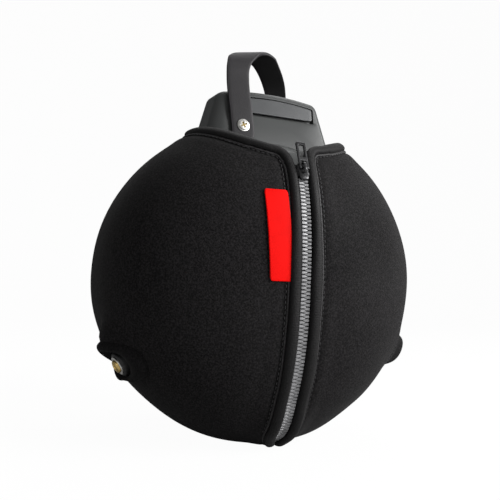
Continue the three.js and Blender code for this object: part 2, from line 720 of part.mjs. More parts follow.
// Place of a strap screw: its head stands off the strap's middle line, its axis points out of the neck
function screwPlace(x, y, z, outward) {
  const turn = new THREE.Quaternion().setFromUnitVectors(new THREE.Vector3(0, 1, 0), outward);
  const seat = new THREE.Vector3(x, y, z).addScaledVector(outward, STRAP_THICK / 2 + GAP);
  return new THREE.Matrix4().compose(seat, turn, new THREE.Vector3(1, 1, 1));
}

const FRONT_OUTWARD = new THREE.Vector3(0, -1, NECK_LEAN).normalize();
const BACK_OUTWARD = new THREE.Vector3(0, 1, 0);
const FRONT_SEAT_Y = strapFront(SCREW_FRONT_Z, 0);
const SCREWS = [
  ['strap_screw_front', screwPlace(STRAP_FRONT_X, FRONT_SEAT_Y, SCREW_FRONT_Z, FRONT_OUTWARD)],
  ['strap_screw_back', screwPlace(STRAP_BACK_X, STRAP_BACK, SCREW_BACK_Z, BACK_OUTWARD)],
];

// Holes for the screws' shanks through the strap and the neck's wall
function shankHoles() {
  const holes = SCREWS.map(([, matrix]) => {
    const hole = new THREE.CylinderGeometry(SCREW_SHANK_RADIUS + GAP, SCREW_SHANK_RADIUS + GAP, 24, 12);
    return solid(hole.applyMatrix4(matrix));
  });
  return holes[0].add(holes[1]);
}

// Neck: hollow tab with rounded edges on a deck whose lip lies just under the cloth round the mouth
function neck() {
  const rounding = {
    bevelEnabled: true,
    bevelThickness: NECK_ROUND,
    bevelSize: NECK_ROUND,
    bevelOffset: -NECK_ROUND,
    bevelSegments: 2,
    curveSegments: 5,
  };
  const back = NECK_FRONT + NECK_DEPTH;
  const tab = leaned(frontPrism(neckShape(0, NECK_LOW), NECK_FRONT, back, rounding));
  const inside = leaned(frontPrism(
    neckShape(NECK_WALL, NECK_LOW - 30),
    NECK_FRONT + NECK_FRONT_WALL,
    back - NECK_WALL,
    rounding,
  ));
  const under = -WALL - GAP;
  const column = (grow) => topPrism(mouthShape(grow), MOUTH_CUT_LOW, FAR);
  const lip = lens(under).intersect(column(DECK_LIP));
  const well = column(-DECK_INSET).subtract(lens(under - DECK_SINK));
  const below = lens(under - NECK_WALL)
    .subtract(column(NECK_WALL - DECK_INSET))
    .add(lens(under - DECK_SINK - NECK_WALL));
  const recess = leaned(frontPrism(plateShape(PLATE_GROOVE), NECK_FRONT - 5, PLATE_BACK + GAP, PLATE_CURVES));
  const shape = lip.subtract(well)
    .subtract(below)
    .add(tab)
    .subtract(inside)
    .subtract(recess)
    .subtract(shankHoles());
  return piece('neck', shape, 'neck');
}

function neckPlate() {
  return leaned(frontPrism(plateShape(0), PLATE_BACK - PLATE_THICK, PLATE_BACK, PLATE_CURVES));
}

// Strap: a flat band along its route, turned and tilted as its rows say
function strap() {
  const route = new THREE.CatmullRomCurve3(STRAP_ROUTE.map(({ x, y, z }) => new THREE.Vector3(x, y, z)));
  const last = STRAP_ROUTE.length - 1;
  const shape = bentBlock(2, STRAP_STEPS, 1, (u, v, w) => {
    const middle = route.getPointAt(v);
    const along = route.getTangentAt(v);
    const spot = route.getUtoTmapping(v) * last;
    const row = STRAP_ROUTE[Math.min(last - 1, Math.floor(spot))];
    const next = STRAP_ROUTE[Math.min(last, Math.floor(spot) + 1)];
    const share = Math.min(1, spot - Math.floor(spot));
    const turn = THREE.MathUtils.degToRad(THREE.MathUtils.lerp(row.turn, next.turn, share));
    const tilt = THREE.MathUtils.degToRad(THREE.MathUtils.lerp(row.tilt, next.tilt, share));
    const across = new THREE.Vector3(Math.cos(turn), -Math.sin(turn), Math.tan(tilt));
    across.addScaledVector(along, -across.dot(along)).normalize();
    const outward = across.clone().cross(along).normalize();
    const width = v === 0 || v === 1 ? STRAP_END_WIDTH : STRAP_WIDTH;
    return middle
      .addScaledVector(across, (u - 0.5) * width)
      .addScaledVector(outward, (w - 0.5) * STRAP_THICK);
  });
  return shape.subtract(shankHoles());
}

function strapScrews() {
  const profile = [
    { radius: 0, height: -SCREW_SHANK_LENGTH },
    { radius: SCREW_SHANK_RADIUS, height: -SCREW_SHANK_LENGTH },
    { radius: SCREW_SHANK_RADIUS, height: 0 },
    { radius: SCREW_HEAD_RADIUS, height: 0 },
    { radius: SCREW_HEAD_RADIUS - 0.3, height: 1 },
    { radius: SCREW_HEAD_RADIUS - 2, height: SCREW_HEAD_HIGH - 0.4 },
    { radius: 0, height: SCREW_HEAD_HIGH },
  ];
  const points = profile.map(({ radius, height }) => new THREE.Vector2(radius, height));
  return SCREWS.map(([name, matrix]) => {
    const turned = solid(new THREE.LatheGeometry(points, SCREW_SEGMENTS).applyMatrix4(matrix));
    return piece(name, turned.subtract(crossBars(SCREW_HEAD_HIGH, matrix)), 'steel');
  });
}

// Ports: a neoprene collar stood on the cloth, a boss clamped through it and a screw on the boss
function ports() {
  const clamp = lens(-WALL - GAP).subtract(lens(-WALL - GAP - BOSS_FLANGE_THICK));
  const top = PORT_SCREW_PROFILE[PORT_SCREW_PROFILE.length - 1].height;
  return [['left', -1], ['right', 1]].flatMap(([name, side]) => {
    const flange = clamp.intersect(portRod(BOSS_FLANGE_RADIUS, side)).intersect(halfSpace(side));
    const boss = portTurn(BOSS_PROFILE, side).add(flange);
    const screw = portTurn(PORT_SCREW_PROFILE, side).subtract(crossBars(top, portPlace(side)));
    return [
      piece(`port_rim_${name}`, collar(side), 'neoprene'),
      piece(`port_boss_${name}`, boss, 'boss'),
      piece(`port_screw_${name}`, screw, 'brass'),
    ];
  });
}

const body = new THREE.Group();
body.position.z = BODY_CENTRE_Z;
body.add(...panels(), ...bindings(), ...zips(), label(), neck());
body.add(piece('neck_plate', neckPlate(), 'plate'), piece('strap', strap(), 'strap'));
body.add(...strapScrews(), ...ports());

const runner = sliderFrame();
runner.add(slider(), pull());
body.add(runner);

const bag = new THREE.Group();
bag.add(body);

export default bag;
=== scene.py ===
"""Looks of the grill carry bag: neoprene cover, rolled edges, zip, label, neck, strap, screws and side ports.

Shapes are worked out in millimetres from the middle of the bag, as in the part's source, and go into
the meshes in metres with the bag standing on the ground.
"""
import math

import bmesh
import bpy
import numpy as np
from bpy.props import FloatProperty, FloatVectorProperty, PointerProperty
from bpy.types import Operator, Panel, PropertyGroup
from mathutils import Matrix, Vector


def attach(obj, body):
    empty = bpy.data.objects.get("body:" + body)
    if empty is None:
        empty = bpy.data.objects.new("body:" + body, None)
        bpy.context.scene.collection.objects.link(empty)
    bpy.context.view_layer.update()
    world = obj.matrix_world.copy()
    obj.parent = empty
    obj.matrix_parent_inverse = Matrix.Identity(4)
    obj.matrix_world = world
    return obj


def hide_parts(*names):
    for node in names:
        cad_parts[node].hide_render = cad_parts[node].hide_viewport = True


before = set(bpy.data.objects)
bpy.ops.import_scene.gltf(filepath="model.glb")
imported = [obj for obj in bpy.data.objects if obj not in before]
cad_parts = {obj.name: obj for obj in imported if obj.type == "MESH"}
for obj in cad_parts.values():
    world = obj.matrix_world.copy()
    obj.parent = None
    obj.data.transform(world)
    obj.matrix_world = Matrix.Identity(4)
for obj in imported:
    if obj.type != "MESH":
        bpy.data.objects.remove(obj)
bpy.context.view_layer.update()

bl_info = {
    "name": "Grill carry bag",
    "version": (1, 0, 0),
    "blender": (4, 5, 0),
    "location": "3D View > Sidebar > Carry bag",
    "description": "Builds the cover, zip, neck, strap and ports of a round grill carry bag",
    "category": "Object",
}

# Millimetre in metres
MM = 0.001

# Lens of the body: (r / radius)^p + (|y| / half depth)^q = 1
RADIUS, HALF_DEPTH = 160.0, 124.8
RADIUS_POWER, DEPTH_POWER = 2.355, 2.84
CENTRE_Z = 156.5

# Oval of the mouth, fuller at its left front, and the run of the zip
MOUTH_Y, MOUTH_WIDTH, MOUTH_BACK = -24.0, 76.0, 62.0
MOUTH_FRONT, MOUTH_LEFT_FRONT, MOUTH_LEFT_POWER = 74.0, 76.0, 2.2
CORNER_X, CORNER_RIGHT_Y, CORNER_LEFT_Y = 24.0, -106.0, -109.0
ZIP_EDGE_X, ZIP_END_X = 10.8, 2.6
ZIP_END_Z, ZIP_WIDE_Z = -147.5, -133.0
CHAIN_LOW_Z, CHAIN_HIGH_Z = -145.5, 93.0
FOOT_RIDGE, FOOT_RIDGE_Z = 5.0, -100.0

# Slider and pull on the zip
SLIDER_Z = 98.0
PIN_ALONG, PIN_HEIGHT = 1.2, 6.15

# Neck and strap
NECK_FRONT, NECK_DEPTH, NECK_LOW = -47.0, 46.0, 118.0
NECK_LEAN, NECK_NARROWING = 0.2, 0.04
PLATE_PROUD, PLATE_MIDDLE_Z = 0.9, 171.0
STRAP_STAND = 0.3
STRAP_FRONT_X, STRAP_BACK_X = -31.3, 22.8
SCREW_FRONT_Z, SCREW_BACK_Z = 149.3, 154.0

# Side ports: place on the lens, boss, collar, and the lip's height up, down, to the front and to the back
PORT_Y, PORT_LEFT_BELOW_LEVEL, PORT_RIGHT_BELOW_LEVEL = -37.0, 29.6, 24.5
BOSS_RADIUS, BOSS_TOP = 12.5, 3.6
COLLAR_HOLE, COLLAR_HOLE_UP = 14.5, 17.0
COLLAR_FOOT, COLLAR_FOOT_DOWN, COLLAR_FOOT_FRONT = 21.5, 24.0, 37.0
COLLAR_LEFT_HOLE, COLLAR_LEFT_FOOT_UP, COLLAR_LEFT_FOOT_DOWN = 12.8, 5.5, -7.0
COLLAR_LEFT_LIP, COLLAR_RIGHT_LIP = (15.0, 8.0, 6.0, 2.8), (11.5, 7.5, 12.5, 9.0)
BOSS_LEFT_EXTRA = 1.4

# Soft bumps of the cover, as amount, middle and width: beside the rolled edge and the seam, and underneath
ROLL_GROOVE, ROLL_SHOULDER, ROLL_RIDGE = (-0.7, 7.2, 1.9), (0.7, 14.0, 6.0), (1.0, 0.0, 11.0)
SEAM_GROOVE, SEAM_SHOULDER, FRONT_SAG = (-1.3, 0.0, 1.7), (0.5, 6.0, 4.0), (2.0, -62.0, 26.0)

# Half gap of the back seam, its stitch line, and the cover's slow waves and gap over the ground
SEAM_HALF_GAP, SEAM_STITCH_X = 0.004, 3.4
WAVE_HEIGHT, GROUND_GAP, GROUND_SOFTNESS = 0.45, 0.15, 1.4

# Framing of the photo in its pixels: side of the picture, focal length and drop of the view's middle
PHOTO_SIDE, PHOTO_FOCAL, PHOTO_DROP = 500, 617, 30.7

SIDES = (("left", -1), ("right", 1))
X_AXIS = np.array([1.0, 0, 0])


class BagShape(PropertyGroup):
    """Sizes of the sewn and moulded details."""

    wall: FloatProperty(
        name="Cover thickness", description="Thickness of the neoprene", default=0.003, unit="LENGTH")
    roll_width: FloatProperty(
        name="Roll width", description="Width of the rolled edge", default=0.0102, unit="LENGTH")
    roll_height: FloatProperty(
        name="Roll height", description="Height of the rolled edge", default=0.0074, unit="LENGTH")
    tooth_pitch: FloatProperty(
        name="Tooth pitch", description="Distance between teeth of one side", default=0.0033, unit="LENGTH")
    strap_width: FloatProperty(
        name="Strap width", description="Width of the carry strap", default=0.0232, unit="LENGTH")
    strap_thick: FloatProperty(
        name="Strap thickness", description="Thickness of the carry strap", default=0.0035, unit="LENGTH")
    stitch: FloatProperty(
        name="Stitch length", description="Length of one stitch of the seams", default=0.0034, unit="LENGTH")


class BagColours(PropertyGroup):
    """Colours of the finishes."""

    neoprene: FloatVectorProperty(
        name="Neoprene", description="Cover cloth", subtype="COLOR", size=3, default=(0.0056, 0.0051, 0.0054))
    # Painted shade: the rolled edges' cloth is darker than the cover to stand in for the shade on the rolls'
    # sides turned away from the key light; the port collars use the same colour
    roll: FloatVectorProperty(
        name="Rolled edge", description="Cloth of the rolled edges", subtype="COLOR", size=3,
        default=(0.0036, 0.0033, 0.0035))
    tape: FloatVectorProperty(
        name="Zip tape", description="Woven tape", subtype="COLOR", size=3, default=(0.008, 0.008, 0.009))
    teeth: FloatVectorProperty(
        name="Zip teeth", description="Moulded teeth", subtype="COLOR", size=3, default=(0.2, 0.2, 0.205))
    slider: FloatVectorProperty(
        name="Slider", description="Painted slider and pull", subtype="COLOR", size=3,
        default=(0.024, 0.024, 0.025))
    label: FloatVectorProperty(
        name="Label", description="Rubber label", subtype="COLOR", size=3, default=(0.7, 0.003, 0.002))
    neck: FloatVectorProperty(
        name="Neck", description="Moulded neck", subtype="COLOR", size=3, default=(0.025, 0.027, 0.0266))
    plate: FloatVectorProperty(
        name="Plate", description="Plate on the neck", subtype="COLOR", size=3, default=(0.027, 0.029, 0.031))
    strap: FloatVectorProperty(
        name="Strap", description="Leather strap", subtype="COLOR", size=3, default=(0.0145, 0.0135, 0.0148))
    steel: FloatVectorProperty(
        name="Steel", description="Screw heads and washers", subtype="COLOR", size=3,
        default=(0.86, 0.85, 0.81))
    brass: FloatVectorProperty(
        name="Brass", description="Port screws", subtype="COLOR", size=3, default=(0.72, 0.52, 0.2))
    boss: FloatVectorProperty(
        name="Boss", description="Moulded port bosses", subtype="COLOR", size=3,
        default=(0.006, 0.006, 0.0065))
    thread: FloatVectorProperty(
        name="Thread", description="Sewing thread", subtype="COLOR", size=3, default=(0.02, 0.0195, 0.021))


class BagStage(PropertyGroup):
    """Floor and light."""

    floor: FloatVectorProperty(
        name="Floor", description="Colour of the floor", subtype="COLOR", size=3, default=(0.4, 0.4, 0.4))
    key: FloatProperty(
        name="Key light", description="Power of the light on the right", default=46, unit="POWER")
    fill: FloatProperty(
        name="Fill light", description="Power of the light on the left", default=4, unit="POWER")
    rim: FloatProperty(
        name="Top light", description="Power of the light above", default=10, unit="POWER")


def smooth(low, high, value):
    """Smooth step from 0 at low to 1 at high."""
    share = np.clip((value - low) / (high - low), 0, 1)
    return share * share * (3 - 2 * share)


def power(value, exponent):
    """Signed power, which squares up a circle's cosine and sine."""
    return np.sign(value) * np.abs(value) ** exponent


def hump(value, amount, middle, width):
    """Soft bump: an amount times a bell of the distance from a middle over a width."""
    return amount * np.exp(-(((value - middle) / width) ** 2))


def unit(vectors):
    """Vectors made unit length."""
    return vectors / np.linalg.norm(vectors, axis=-1, keepdims=True)


def heading(line):
    """Unit direction along a line of points."""
    return unit(np.gradient(line, axis=0))


def running(line):
    """Running length along a line of points."""
    return np.r_[0, np.cumsum(np.linalg.norm(np.diff(line, axis=0), axis=1))]


def sampled(spots, run, data):
    """Rows of data at running lengths, between the rows that are given at run."""
    return np.stack([np.interp(spots, run, column) for column in data.T], axis=-1)


def resample(line, count):
    """Evenly spaced points along a line of points, by running length."""
    run = running(line)
    return sampled(np.linspace(0, run[-1], count), run, line)


def spline(points, count):
    """Smooth line through points: cubic pieces by chord length with slopes from the neighbours."""
    p = np.asarray(points, float)
    t = running(p)
    slope = np.gradient(p, t, axis=0)
    s = np.linspace(0, t[-1], 6 * count)
    k = np.clip(np.searchsorted(t, s, side="right") - 1, 0, len(t) - 2)
    h = (t[k + 1] - t[k])[:, None]
    u = (s - t[k])[:, None] / h
    line = (2 * u**3 - 3 * u**2 + 1) * p[k] + (u**3 - 2 * u**2 + u) * h * slope[k]
    line = line + (3 * u**2 - 2 * u**3) * p[k + 1] + (u**3 - u**2) * h * slope[k + 1]
    return resample(line, count)


def bezier(a, b, c, count):
    """Quadratic curve from a to c, pulled towards b."""
    t = np.linspace(0, 1, count)[:, None]
    a, b, c = (np.asarray(point, float) for point in (a, b, c))
    return (1 - t) ** 2 * a + 2 * t * (1 - t) * b + t**2 * c


def lens_radius(y, grow=0.0):
    """Radius of the lens at depth y, with both its half axes grown by an amount."""
    share = np.clip(np.abs(y) / (HALF_DEPTH + grow), 0, 1)
    return (RADIUS + grow) * (1 - share**DEPTH_POWER) ** (1 / RADIUS_POWER)


def lens_depth(r):
    """Half depth of the lens at radius r from its axis."""
    share = np.clip(r / RADIUS, 0, 1)
    return HALF_DEPTH * (1 - share**RADIUS_POWER) ** (1 / DEPTH_POWER)


def lens_normal(p):
    """Outward normal of the lens: the gradient of its formula, made unit length."""
    r = np.maximum(np.hypot(p[..., 0], p[..., 2]), 1e-6)
    rise = RADIUS_POWER / RADIUS * (r / RADIUS) ** (RADIUS_POWER - 1)
    share = np.abs(p[..., 1]) / HALF_DEPTH
    run = DEPTH_POWER / HALF_DEPTH * share ** (DEPTH_POWER - 1) * np.sign(p[..., 1])
    return unit(np.stack([rise * p[..., 0] / r, run, rise * p[..., 2] / r], axis=-1))


def front(x, z, lift=0.0):
    """Point on the front of the lens over x and z, lifted along the normal."""
    x, z = np.broadcast_arrays(np.asarray(x, float), np.asarray(z, float))
    p = np.stack([x, -lens_depth(np.hypot(x, z)), z], axis=-1)
    return p + lens_normal(p) * np.asarray(lift)[..., None]


def top(x, y, grow=0.0):
    """Point over x and y on the top of the lens, whose half axes are grown by an amount."""
    return np.stack([x, y, np.sqrt(np.maximum(lens_radius(y, grow) ** 2 - x**2, 0))], axis=-1)


def zip_edge(z):
    """Half the width between the rolled edges at height z: a quarter sine that closes at the foot."""
    share = np.clip((z - ZIP_END_Z) / (ZIP_WIDE_Z - ZIP_END_Z), 0, 1)
    return ZIP_END_X + (ZIP_EDGE_X - ZIP_END_X) * np.sin(share * np.pi / 2)


def mouth(angle, grow=0.0):
    """Oval of the mouth from above, by angle from the right: half ellipses towards the zip and behind. The
    left front quarter is deeper and squarer, with its cosine and sine raised to a power under one."""
    c, s = np.cos(angle), np.sin(angle)
    left = (c < 0) & (s < 0)
    square = np.where(left, 2 / MOUTH_LEFT_POWER, 1.0)
    deep = np.where(s < 0, np.where(left, MOUTH_LEFT_FRONT, MOUTH_FRONT), MOUTH_BACK) + grow
    return (MOUTH_WIDTH + grow) * power(c, square), MOUTH_Y + deep * power(s, square)


def ridge(line):
    """Extra lift of the rolled edge near the zip's foot, where both edges stand up in one ridge."""
    return FOOT_RIDGE * smooth(-FOOT_RIDGE_Z, -ZIP_WIDE_Z, -line[..., 2]) * (line[..., 1] < 0)


def edge_line(side, count):
    """Line of the rolled edge on the lens: up the zip, round the corner, round the mouth to the back seam."""
    low = CORNER_LEFT_Y if side < 0 else CORNER_RIGHT_Y
    z = np.linspace(ZIP_END_Z, np.sqrt(lens_radius(low) ** 2 - ZIP_EDGE_X**2), 160)
    rise = front(side * zip_edge(z), z)
    start = -np.arccos((CORNER_X / MOUTH_WIDTH) ** (MOUTH_LEFT_POWER / 2 if side < 0 else 1))
    angle = np.linspace(start, np.pi / 2 - 0.15 / MOUTH_WIDTH, 90)
    x, y = mouth(angle if side > 0 else np.pi - angle)
    edge = side * ZIP_EDGE_X
    bend = bezier((edge, low), (edge, y[0] - 2.5), (x[0], y[0]), 14)[1:]
    line = resample(np.concatenate([rise, top(bend[:, 0], bend[:, 1]), top(x[1:], y[1:])]), count)
    for _ in range(3):
        line[1:-1] = (line[:-2] + 2 * line[1:-1] + line[2:]) / 4
    return line


def grid(points, uv=None):
    """Surface of a grid of points: one four-sided face between each four neighbours."""
    rows, columns = points.shape[:2]
    spot = np.arange(rows * columns).reshape(rows, columns)
    faces = np.stack([spot[:-1, :-1], spot[:-1, 1:], spot[1:, 1:], spot[1:, :-1]], axis=-1).reshape(-1, 4)
    if uv is None:
        v, u = np.meshgrid(np.linspace(0, 1, rows), np.linspace(0, 1, columns), indexing="ij")
        uv = np.stack([u, v], axis=-1)
    return points.reshape(-1, 3), faces, uv.reshape(-1, 2)


def ends_closed(rows):
    """Grid of rings with each end drawn in to its middle point."""
    low, high = rows[:1].mean(axis=1, keepdims=True), rows[-1:].mean(axis=1, keepdims=True)
    width = rows.shape[1]
    return np.concatenate([np.repeat(low, width, 1), rows, np.repeat(high, width, 1)])


def many_rings(points):
    """Surfaces of many grids of rings in one part: the faces between one grid and the next are left out."""
    count, rows, columns = points.shape[:3]
    flat, faces, uv = grid(points.reshape(count * rows, columns, 3))
    return flat, faces[(faces[:, 0] // columns) % rows != rows - 1], uv


def sweep(line, across, outward, u, w):
    """Profile carried along a line, closed at both ends: its two coordinates run along the across and outward
    directions, and its own map runs once round it and by length along it."""
    u, w = np.broadcast_arrays(u, w)
    if u.ndim == 1:
        u, w = np.tile(u, (len(line), 1)), np.tile(w, (len(line), 1))
    points = ends_closed(line[:, None] + u[..., None] * across[:, None] + w[..., None] * outward[:, None])
    run = running(line)
    run = np.r_[run[0], run, run[-1]]
    uv = np.stack(np.broadcast_arrays(np.linspace(0, 1, points.shape[1])[None], run[:, None]), axis=-1)
    return grid(points, uv)


def ring(count):
    """Angles of a closed ring, with the first one met again at the end."""
    return np.linspace(0, 2 * np.pi, count + 1)


def rounded_block(low, high, square=0.32, columns=28, rows=14):
    """Box with rounded edges: a superellipsoid, whose cosines and sines are raised to a small power."""
    low, high = np.asarray(low, float), np.asarray(high, float)
    turn, rise = np.meshgrid(ring(columns), np.linspace(-np.pi / 2, np.pi / 2, rows))
    x = power(np.cos(rise), square) * power(np.cos(turn), square)
    y = power(np.cos(rise), square) * power(np.sin(turn), square)
    ball = np.stack([x, y, power(np.sin(rise), square)], axis=-1)
    return grid((low + high) / 2 + ball * (high - low) / 2)


def turned(profile, place, segments=64):
    """Profile of radius and height turned about an axis: place gives the axis's middle and directions."""
    middle, across, along, axis = place
    r, h = np.asarray(profile, float).T
    turn = ring(segments)[None]
    points = middle + r[:, None, None] * (np.cos(turn)[..., None] * across + np.sin(turn)[..., None] * along)
    return grid(points + h[:, None, None] * axis)


def screw_head(place, radius, rim, dome, cross, deep, bar=1.9, rows=40, segments=96):
    """Domed screw head: a polar grid whose height is a rim and a dome less a cross-shaped recess.

    The recess is the smooth union of two crossed bars, each a smooth step of the distance across it."""
    middle, across, along, axis = place
    share, turn = np.meshgrid(np.linspace(0, 1, rows), ring(segments), indexing="ij")
    x, y = share * radius * np.cos(turn), share * radius * np.sin(turn)
    height = rim + dome * np.sqrt(np.maximum(1 - share**2.4, 0))
    arms = [
        (1 - smooth(bar / 2 - 0.25, bar / 2 + 0.25, np.abs(a))) * (1 - smooth(cross - 0.5, cross, np.abs(b)))
        for a, b in ((x, y), (y, x))
    ]
    height = height - deep * np.maximum(*arms)
    face = middle + x[..., None] * across + y[..., None] * along + height[..., None] * axis
    low = face[-1:] - rim * axis
    under = np.repeat(low.mean(1, keepdims=True), segments + 1, 1)
    return grid(np.concatenate([face, face[-1:], low, under]))


def shifted_place(place, rise):
    """Place moved along its own axis."""
    return place[0] + place[3] * rise, place[1], place[2], place[3]


def set_in(part, place):
    """Part in its own frame set into a place: its x, y and z run along the place's three directions."""
    middle, across, along, axis = place
    return middle + part[0] @ np.stack([across, along, axis]), part[1], part[2]


def make(name, parts, material, nodes=(), body="bag", sharp=40.0):
    """Object of joined parts: doubles merged, faces turned outwards, smooth but for edges over an angle."""
    start = np.cumsum([0] + [len(p) for p, _, _ in parts])
    points = np.concatenate([p for p, _, _ in parts]) + np.array([0, 0, CENTRE_Z])
    faces = np.concatenate([f + s for (_, f, _), s in zip(parts, start)])
    uv = np.concatenate([t for _, _, t in parts])
    mesh = bpy.data.meshes.new(name)
    mesh.from_pydata((points * MM).tolist(), [], faces.tolist())
    layer = mesh.uv_layers.new(name="Surface")
    layer.data.foreach_set("uv", uv[faces.reshape(-1)].astype(np.float32).reshape(-1))
    work = bmesh.new()
    work.from_mesh(mesh)
    bmesh.ops.remove_doubles(work, verts=work.verts, dist=2e-6)
    bmesh.ops.dissolve_degenerate(work, edges=work.edges, dist=1e-7)
    bmesh.ops.recalc_face_normals(work, faces=work.faces)
    work.to_mesh(mesh)
    work.free()
    mesh.polygons.foreach_set("use_smooth", np.ones(len(mesh.polygons), bool))
    mesh.set_sharp_from_angle(angle=math.radians(sharp))
    mesh.materials.append(material)
    piece = bpy.data.objects.new(name, mesh)
    bpy.context.collection.objects.link(piece)
    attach(piece, body)
    if nodes:
        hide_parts(*nodes)
    return piece


def new_group(name, inputs, outputs):
    """Empty shader group with named sockets, and its nodes for input and output."""
    tree = bpy.data.node_groups.new(name, "ShaderNodeTree")
    for label, kind, value in inputs:
        socket = tree.interface.new_socket(name=label, in_out="INPUT", socket_type=kind)
        if value is not None:
            socket.default_value = value
    for label, kind in outputs:
        tree.interface.new_socket(name=label, in_out="OUTPUT", socket_type=kind)
    return tree, tree.nodes.new("NodeGroupInput"), tree.nodes.new("NodeGroupOutput")


def math_node(tree, operation, *values):
    """Output of a Math node: sockets are linked into it, and numbers are set on it."""
    node = tree.nodes.new("ShaderNodeMath")
    node.operation = operation
    for socket, value in zip(node.inputs, values):
        if isinstance(value, bpy.types.NodeSocket):
            tree.links.new(value, socket)
        else:
            socket.default_value = value
    return node.outputs[0]


def speckle_group():
    """Fine speckle: noise at a scale, stretched between two levels to a mask from 0 to 1."""
    if "Fine speckle" in bpy.data.node_groups:
        return bpy.data.node_groups["Fine speckle"]
    tree, source, sink = new_group(
        "Fine speckle",
        [("Vector", "NodeSocketVector", None), ("Scale", "NodeSocketFloat", 900.0),
         ("Low", "NodeSocketFloat", 0.35), ("High", "NodeSocketFloat", 0.7)],
        [("Mask", "NodeSocketFloat")],
    )
    noise = tree.nodes.new("ShaderNodeTexNoise")
    noise.inputs["Detail"].default_value = 3
    noise.inputs["Roughness"].default_value = 0.6
    spread = tree.nodes.new("ShaderNodeMapRange")
    tree.links.new(source.outputs["Vector"], noise.inputs["Vector"])
    tree.links.new(source.outputs["Scale"], noise.inputs["Scale"])
    tree.links.new(noise.outputs["Fac"], spread.inputs["Value"])
    tree.links.new(source.outputs["Low"], spread.inputs["From Min"])
    tree.links.new(source.outputs["High"], spread.inputs["From Max"])
    tree.links.new(spread.outputs["Result"], sink.inputs["Mask"])
    return tree


def tone_group():
    """Uneven tone: broad, soft noise from 0 to 1 for slow changes of colour and gloss."""
    if "Uneven tone" in bpy.data.node_groups:
        return bpy.data.node_groups["Uneven tone"]
    tree, source, sink = new_group(
        "Uneven tone",
        [("Vector", "NodeSocketVector", None), ("Scale", "NodeSocketFloat", 14.0)],
        [("Mask", "NodeSocketFloat")],
    )
    noise = tree.nodes.new("ShaderNodeTexNoise")
    noise.inputs["Detail"].default_value = 2
    spread = tree.nodes.new("ShaderNodeMapRange")
    spread.interpolation_type = "SMOOTHSTEP"
    spread.inputs["From Min"].default_value = 0.3
    spread.inputs["From Max"].default_value = 0.7
    tree.links.new(source.outputs["Vector"], noise.inputs["Vector"])
    tree.links.new(source.outputs["Scale"], noise.inputs["Scale"])
    tree.links.new(noise.outputs["Fac"], spread.inputs["Value"])
    tree.links.new(spread.outputs["Result"], sink.inputs["Mask"])
    return tree


def pebble_group():
    """Pebbled grain: height that falls from the middle of each cell to its edge, roughened by fine noise."""
    if "Pebbled grain" in bpy.data.node_groups:
        return bpy.data.node_groups["Pebbled grain"]
    tree, source, sink = new_group(
        "Pebbled grain",
        [("Vector", "NodeSocketVector", None), ("Scale", "NodeSocketFloat", 700.0),
         ("Noise", "NodeSocketFloat", 0.4)],
        [("Height", "NodeSocketFloat")],
    )
    cells = tree.nodes.new("ShaderNodeTexVoronoi")
    noise = tree.nodes.new("ShaderNodeTexNoise")
    noise.inputs["Detail"].default_value = 2
    for node in (cells, noise):
        tree.links.new(source.outputs["Vector"], node.inputs["Vector"])
    finer = math_node(tree, "MULTIPLY", source.outputs["Scale"], 2.3)
    tree.links.new(source.outputs["Scale"], cells.inputs["Scale"])
    tree.links.new(finer, noise.inputs["Scale"])
    amount = math_node(tree, "MULTIPLY", noise.outputs["Fac"], source.outputs["Noise"])
    tree.links.new(math_node(tree, "SUBTRACT", amount, cells.outputs["Distance"]), sink.inputs["Height"])
    return tree


def rib_group():
    """Ribs along a strip: a sine of the running length over the pitch, from 0 to 1."""
    if "Sewn ribs" in bpy.data.node_groups:
        return bpy.data.node_groups["Sewn ribs"]
    tree, source, sink = new_group(
        "Sewn ribs",
        [("Vector", "NodeSocketVector", None), ("Pitch", "NodeSocketFloat", 1.2)],
        [("Height", "NodeSocketFloat")],
    )
    split = tree.nodes.new("ShaderNodeSeparateXYZ")
    tree.links.new(source.outputs["Vector"], split.inputs[0])
    turns = math_node(tree, "DIVIDE", split.outputs["Y"], source.outputs["Pitch"])
    wave = math_node(tree, "SINE", math_node(tree, "MULTIPLY", turns, 2 * math.pi))
    tree.links.new(math_node(tree, "MULTIPLY_ADD", wave, 0.5, 0.5), sink.inputs["Height"])
    return tree


